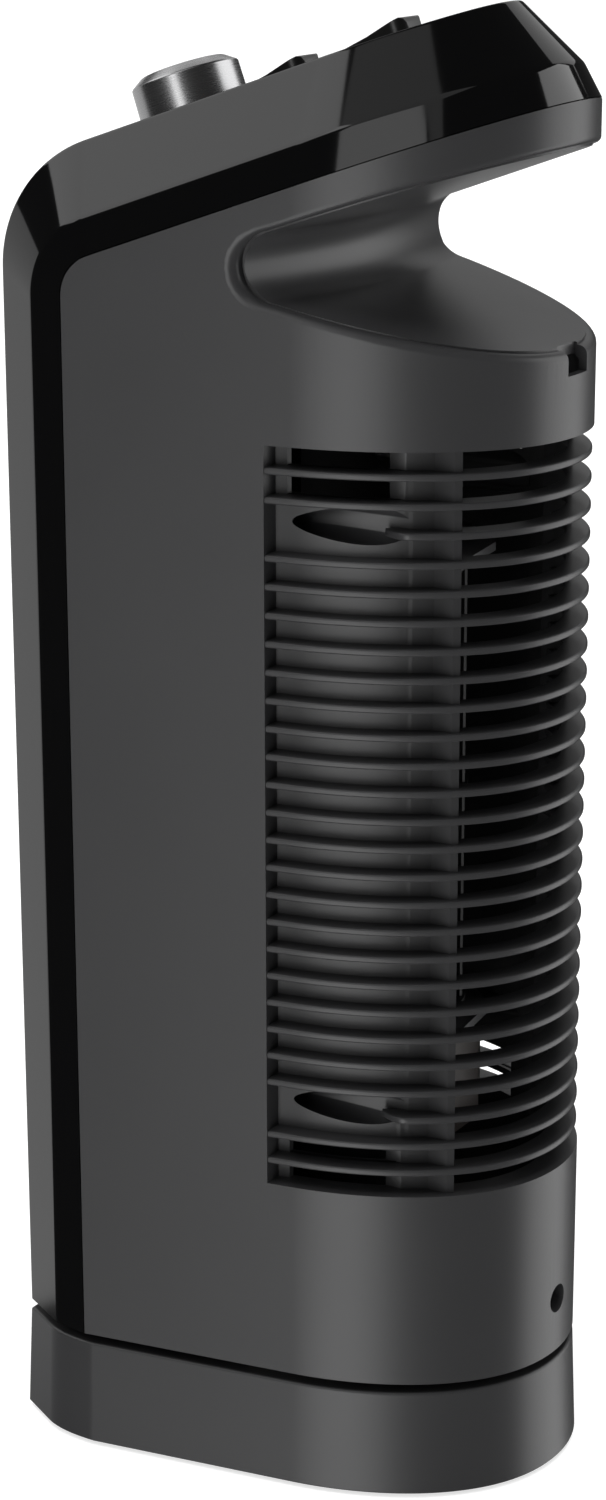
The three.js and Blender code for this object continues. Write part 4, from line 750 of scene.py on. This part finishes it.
BEND_STEPS, COLUMNS, KNEE_STEPS = 36, 24, 4


def sheet(front, top, bend, foot, inset_front, inset_rear, bulge=0.0):
    """A grid of points up the face, round the bend and back along the top to the rear centre."""
    turn = math.pi / 2 - TILT
    reach = bend * math.tan(turn / 2)

    def inset_at(y):
        k = min(1.0, max(0.0, (y - FRONT_Y) / (REAR_Y - FRONT_Y)))
        return inset_front + (inset_rear - inset_front) * k

    def front_point(k, y):
        if k < 0:
            return y, foot
        a = turn * k / BEND_STEPS
        return y + bend - bend * math.cos(a), top + PANEL_SLOPE * y - reach + bend * math.sin(a)

    rows = []
    for k in range(-1, BEND_STEPS + 1):
        edge_y = front_point(k, front)[0]
        half = side_half(edge_y) - inset_at(edge_y)
        row = []
        for c in range(COLUMNS + 1):
            u = 1 - 2 * c / COLUMNS
            y, z = front_point(k, front - bulge * (1 - u * u))
            row.append((half * u, y, z))
        rows.append(row)
    edge = half_plan(front + reach * math.cos(TILT), 0)[1:]
    for i, (x, y) in enumerate(edge):
        px, py = edge[max(0, i - 1)]
        qx, qy = edge[min(len(edge) - 1, i + 1)]
        inset = inset_at(y) / math.hypot(qx - px, qy - py)
        x, y = max(0.0, x - (qy - py) * inset), y + (qx - px) * inset
        if i == len(edge) - 1:
            x, y = 0.0, REAR_Y - inset_at(REAR_Y)
        z = top + PANEL_SLOPE * y
        rows.append([(x * (1 - 2 * c / COLUMNS), y, z) for c in range(COLUMNS + 1)])
    return rows


def border(rows):
    """The points round a grid, in order."""
    m, n = len(rows), len(rows[0])
    way = [(0, i) for i in range(n - 1)] + [(j, n - 1) for j in range(m - 1)]
    way += [(m - 1, i) for i in range(n - 1, 0, -1)] + [(j, 0) for j in range(m - 1, 0, -1)]
    return [rows[j][i] for j, i in way]


def knee(before, at, after, width):
    """Loops that round the edge at a loop, between the loops before and after it."""
    loops = [[] for _ in range(KNEE_STEPS + 1)]
    for a, b, c in zip(before, at, after):
        a, b, c = Vector(a), Vector(b), Vector(c)
        a = b + (a - b).normalized() * min(width, (a - b).length * 0.45)
        c = b + (c - b).normalized() * min(width, (c - b).length * 0.45)
        for k in range(KNEE_STEPS + 1):
            t = k / KNEE_STEPS
            loops[k].append(tuple(a * (1 - t) ** 2 + b * (2 * t * (1 - t)) + c * t * t))
    return loops


def cased(name, front, loops, back):
    """A solid between two grids, with the loops of points between their borders."""
    m, n = len(front), len(front[0])
    points, faces = [], []

    def take(rows, turned):
        start = len(points)
        points.extend(p for row in rows for p in row)
        for j in range(m - 1):
            for i in range(n - 1):
                a = start + j * n + i
                four = (a, a + n, a + n + 1, a + 1)
                faces.append(four[::-1] if turned else four)

    take(front, False)
    take(back, True)
    ends = [border(front)] + loops + [border(back)]
    start, around = len(points), len(ends[0])
    points.extend(p for loop in ends for p in loop)
    for k in range(len(ends) - 1):
        for s in range(around):
            a, b = start + k * around + s, start + k * around + (s + 1) % around
            faces.append((a, b, b + around, a + around))
    return link_mesh(name, points, faces)


middle_y, middle_z = FRONT_Y + BEVEL_DEPTH, PANEL_Z - BEVEL_DROP
shoulder_z = PANEL_Z - SHOULDER_DROP
face_way = (FRONT_Y, PANEL_Z, BEND_OUTER, TOWER_Z)
face = sheet(*face_way, FACE_INSET, TOP_INSET, FACE_BULGE)
drawn_in = sheet(*face_way, FACE_INSET + EDGE_ROUND, TOP_INSET + EDGE_ROUND, FACE_BULGE)
middle = sheet(middle_y, middle_z, BEND_MIDDLE, TOWER_Z, BEVEL_INSET, MIDDLE_REAR_INSET)
shoulder = sheet(SHOULDER_Y, shoulder_z, BEND_INNER, TOWER_Z, 0.0, 0.0)
loops = knee(border(drawn_in), border(face), border(middle), EDGE_ROUND)
loops += knee(border(face), border(middle), border(shoulder), EDGE_ROUND)
front_frame = cased("front_frame", drawn_in, loops[1:], shoulder)

lift, cut_foot = 1 / math.cos(TILT), TOWER_Z - 2
face_way = (FRONT_Y + BEZEL_WALL, PANEL_Z - BEZEL_WALL * lift, BEND_OUTER, cut_foot)
hollow_front = sheet(*face_way, *HOLLOW_FACE_INSETS, FACE_BULGE)
middle_way = (middle_y + HOLLOW_MIDDLE_STEP, middle_z - HOLLOW_MIDDLE_STEP * lift, BEND_MIDDLE, cut_foot)
hollow_middle = sheet(*middle_way, *HOLLOW_MIDDLE_INSETS)
back_way = (SHOULDER_Y + HOLLOW_BACK_STEP, shoulder_z - HOLLOW_BACK_STEP * lift, BEND_INNER, cut_foot)
hollow_back = sheet(*back_way, BEZEL_WALL, BEZEL_WALL)
combined(front_frame, [cased("hollow", hollow_front, [border(hollow_middle)], hollow_back)])
combined(front_frame, [box("outlet", -OUTLET_HALF, OUTLET_HALF, *OUTLET_Y, OUTLET_Z0, OUTLET_Z1)])


def on_panel(obj):
    """Moves a piece drawn flat, with z out of the panel, onto the sloped top."""
    back = Matrix.Translation((0, -SHIFT_Y * MM, 0))
    there = Matrix.Translation((0, SHIFT_Y * MM, PANEL_Z * MM)) @ Matrix.Rotation(TILT, 4, "X")
    obj.data.transform(there @ back)
    return obj


opening = box("opening", -PANEL_HALF, PANEL_HALF, PANEL_FRONT, PANEL_REAR, -PANEL_CUT, PANEL_CUT)
combined(front_frame, [on_panel(opening)])
piano = grained("black_gloss", (0.0012, 0.0012, 0.0013), 0.06, 260.0, 0.03)
fit_piece(smooth(front_frame, 32.0), piano, "tower", "gloss", "front_bezel")

# ---- control panel -----------------------------------------------------------------------------
# A black moulded plate, sunk in the top, carries the rocker switches, the thermostat and a small
# amber lens over the power lamp.
dress(grained("panel_black", (0.008, 0.008, 0.008), 0.38, 1100.0, 0.15), "control_panel")
dress(grained("amber_lens", (0.5, 0.10, 0.012), 0.12, 300.0, 0.05), "indicator_lens")
dress(zinc, "thermostat_body")
dress(steel, "thermostat_shaft")
dress(inner_black, "switch_body_1", "switch_body_2")

# ---- thermostat dial ---------------------------------------------------------------------------
# A plastic dial plated satin silver, pushed onto the thermostat's shaft. Its rim is chamfered and
# it is brushed on a lathe, so fine rings run round it. A short groove marks where it points.
KNOB_Y, KNOB_R_TOP, KNOB_R_FOOT, KNOB_HEIGHT, KNOB_CHAMFER = -47.3, 15.6, 15.8, 14.6, 3.6
CHAMFER_RISE, KNOB_SIDES, KNOB_RIM, KNOB_RECESS, KNOB_BORE = 0.62, 128, 2.0, 3.0, 4.5
GROOVE_START, GROOVE_HALF, GROOVE_DEEP = 4.0, 0.6, 0.6
SATIN_GLOSS = 0.27


def turned_rings_group():
    """Lathe brushing: rings round an axis through Centre, tipped by the panel's slope."""
    group = bpy.data.node_groups.new("turned rings", "ShaderNodeTree")
    group.interface.new_socket("Centre", in_out="INPUT", socket_type="NodeSocketVector")
    group.interface.new_socket("Gloss", in_out="INPUT", socket_type="NodeSocketFloat")
    group.interface.new_socket("Roughness", in_out="OUTPUT", socket_type="NodeSocketFloat")
    group.interface.new_socket("Normal", in_out="OUTPUT", socket_type="NodeSocketVector")
    n, link = group.nodes, group.links
    given, out = n.new("NodeGroupInput"), n.new("NodeGroupOutput")
    place = n.new("ShaderNodeTexCoord")
    away = n.new("ShaderNodeVectorMath")
    away.operation = "SUBTRACT"
    level = n.new("ShaderNodeVectorRotate")
    level.rotation_type = "X_AXIS"
    level.inputs["Angle"].default_value = -TILT
    flat = n.new("ShaderNodeVectorMath")
    flat.operation = "MULTIPLY"
    flat.inputs[1].default_value = (1.0, 1.0, 0.0)
    radius = n.new("ShaderNodeVectorMath")
    radius.operation = "LENGTH"
    height = n.new("ShaderNodeSeparateXYZ")
    joined = n.new("ShaderNodeCombineXYZ")
    rings = n.new("ShaderNodeTexNoise")
    rings.inputs["Scale"].default_value = 7000.0
    rings.inputs["Detail"].default_value = 2.0
    link.new(place.outputs["Object"], away.inputs[0])
    link.new(given.outputs["Centre"], away.inputs[1])
    link.new(away.outputs["Vector"], level.inputs["Vector"])
    link.new(level.outputs["Vector"], flat.inputs[0])
    link.new(flat.outputs["Vector"], radius.inputs[0])
    link.new(level.outputs["Vector"], height.inputs["Vector"])
    link.new(radius.outputs["Value"], joined.inputs["X"])
    link.new(height.outputs["Z"], joined.inputs["Z"])
    link.new(joined.outputs["Vector"], rings.inputs["Vector"])
    streak = n.new("ShaderNodeMapRange")
    streak.inputs["To Min"].default_value = -0.06
    streak.inputs["To Max"].default_value = 0.06
    link.new(rings.outputs["Fac"], streak.inputs["Value"])
    gloss = n.new("ShaderNodeMath")
    gloss.operation = "ADD"
    link.new(streak.outputs["Result"], gloss.inputs[0])
    link.new(given.outputs["Gloss"], gloss.inputs[1])
    link.new(gloss.outputs["Value"], out.inputs["Roughness"])
    bump = n.new("ShaderNodeBump")
    bump.inputs["Distance"].default_value = 0.000002
    bump.inputs["Strength"].default_value = 0.1
    link.new(rings.outputs["Fac"], bump.inputs["Height"])
    link.new(bump.outputs["Normal"], out.inputs["Normal"])
    return group


satin = plain_look("satin_silver", (0.40, 0.40, 0.405), SATIN_GLOSS, metal=1.0)
brushing = satin.node_tree.nodes.new("ShaderNodeGroup")
brushing.node_tree = turned_rings_group()
centre = Vector((0.0, KNOB_Y * math.cos(TILT) + SHIFT_Y, PANEL_Z + KNOB_Y * math.sin(TILT))) * MM
brushing.inputs["Centre"].default_value = centre
brushing.inputs["Gloss"].default_value = SATIN_GLOSS
satin_shader = satin.node_tree.nodes["Principled BSDF"]
satin.node_tree.links.new(brushing.outputs["Roughness"], satin_shader.inputs["Roughness"])
satin.node_tree.links.new(brushing.outputs["Normal"], satin_shader.inputs["Normal"])

rise = KNOB_HEIGHT - KNOB_CHAMFER * CHAMFER_RISE
inner_r, flat_r = KNOB_R_FOOT - KNOB_RIM, KNOB_R_TOP - KNOB_CHAMFER
profile = [(KNOB_BORE, KNOB_RECESS), (inner_r, KNOB_RECESS), (inner_r, 0.3)]
profile += [(KNOB_R_FOOT - 0.3, 0.3), (KNOB_R_FOOT, 0.6), (KNOB_R_TOP + 0.02, rise - 0.5)]
profile += [(KNOB_R_TOP - 0.05, rise - 0.2), (KNOB_R_TOP - 0.3, rise + 0.08)]
profile += [(flat_r + 0.4, KNOB_HEIGHT - 0.16), (flat_r, KNOB_HEIGHT), (0.02, KNOB_HEIGHT)]
turns = [2 * math.pi * k / KNOB_SIDES for k in range(KNOB_SIDES)]
rings = [[(r * math.cos(a), KNOB_Y + r * math.sin(a), z) for a in turns] for r, z in profile]
dial = skin("thermostat_dial", rings)
groove_y, groove_z = (KNOB_Y + GROOVE_START, KNOB_Y + flat_r), KNOB_HEIGHT - GROOVE_DEEP
combined(dial, [box("groove", -GROOVE_HALF, GROOVE_HALF, *groove_y, groove_z, KNOB_HEIGHT + 1)])
fit_piece(smooth(on_panel(dial)), satin, "knob", "satin", "thermostat_knob")

# ---- rocker keys -------------------------------------------------------------------------------
# Two black keys that tip on pins in their switch bodies. Each is bent a little at its middle, has
# a rounded rear end, and stands with that end up.
ROCKER_YS, ROCKER_LENGTH, ROCKER_WIDTH, ROCKER_CREST = (-17.7, 16.3), 24.0, 13.0, 3.3
ROCKER_TILT, ROCKER_FRONT_TILT, PIVOT_LIFT = math.radians(11.0), math.radians(7.0), 0.4
ROCKER_CORNER, ROCKER_EDGE, ROCKER_SIDE, ROCKER_BELLY = 4.5, 0.6, 1.6, 6.5
ROCKER_BODIES = ("rocker_front", "rocker_back")
key_black = grained("switch_black", (0.006, 0.006, 0.006), 0.3, 900.0, 0.1)


def key_plan(y):
    """A key seen from above: square in front, round corners behind."""
    half, width = ROCKER_LENGTH / 2, ROCKER_WIDTH / 2
    points = [(-width, y - half), (width, y - half)]
    for side, start in ((1, 0.0), (-1, math.pi / 2)):
        for k in range(9):
            a = start + math.pi / 2 * k / 8
            corner_x = side * (width - ROCKER_CORNER) + ROCKER_CORNER * math.cos(a)
            points.append((corner_x, y + half - ROCKER_CORNER * (1 - math.sin(a))))
    return points


for i, y in enumerate(ROCKER_YS):
    half = ROCKER_LENGTH / 2
    front_z = ROCKER_CREST - half * math.tan(ROCKER_FRONT_TILT)
    tip_z = ROCKER_CREST + (half - ROCKER_SIDE) * math.tan(ROCKER_TILT)
    side = [(-half, -ROCKER_SIDE), (-half, front_z), (0.0, ROCKER_CREST), (half - ROCKER_SIDE, tip_z)]
    side += [(half - 0.7, tip_z - 0.5), (half - 0.3, tip_z - 1.8), (half, -1.0), (0.0, -ROCKER_BELLY)]
    points = [(a + y, b + PIVOT_LIFT) for a, b in side]
    key = prism_x(f"rocker_key_{i + 1}", points, -ROCKER_WIDTH / 2, ROCKER_WIDTH / 2)
    combined(key, [prism("plan", key_plan(y), -12, 12)], "INTERSECT")
    soften = key.modifiers.new("edge", "BEVEL")
    soften.width = ROCKER_EDGE * MM
    soften.segments = 4
    soften.angle_limit = math.radians(30)
    key = smooth(on_panel(baked(key)))
    fit_piece(key, key_black, ROCKER_BODIES[i], "black", f"rocker_{i + 1}")
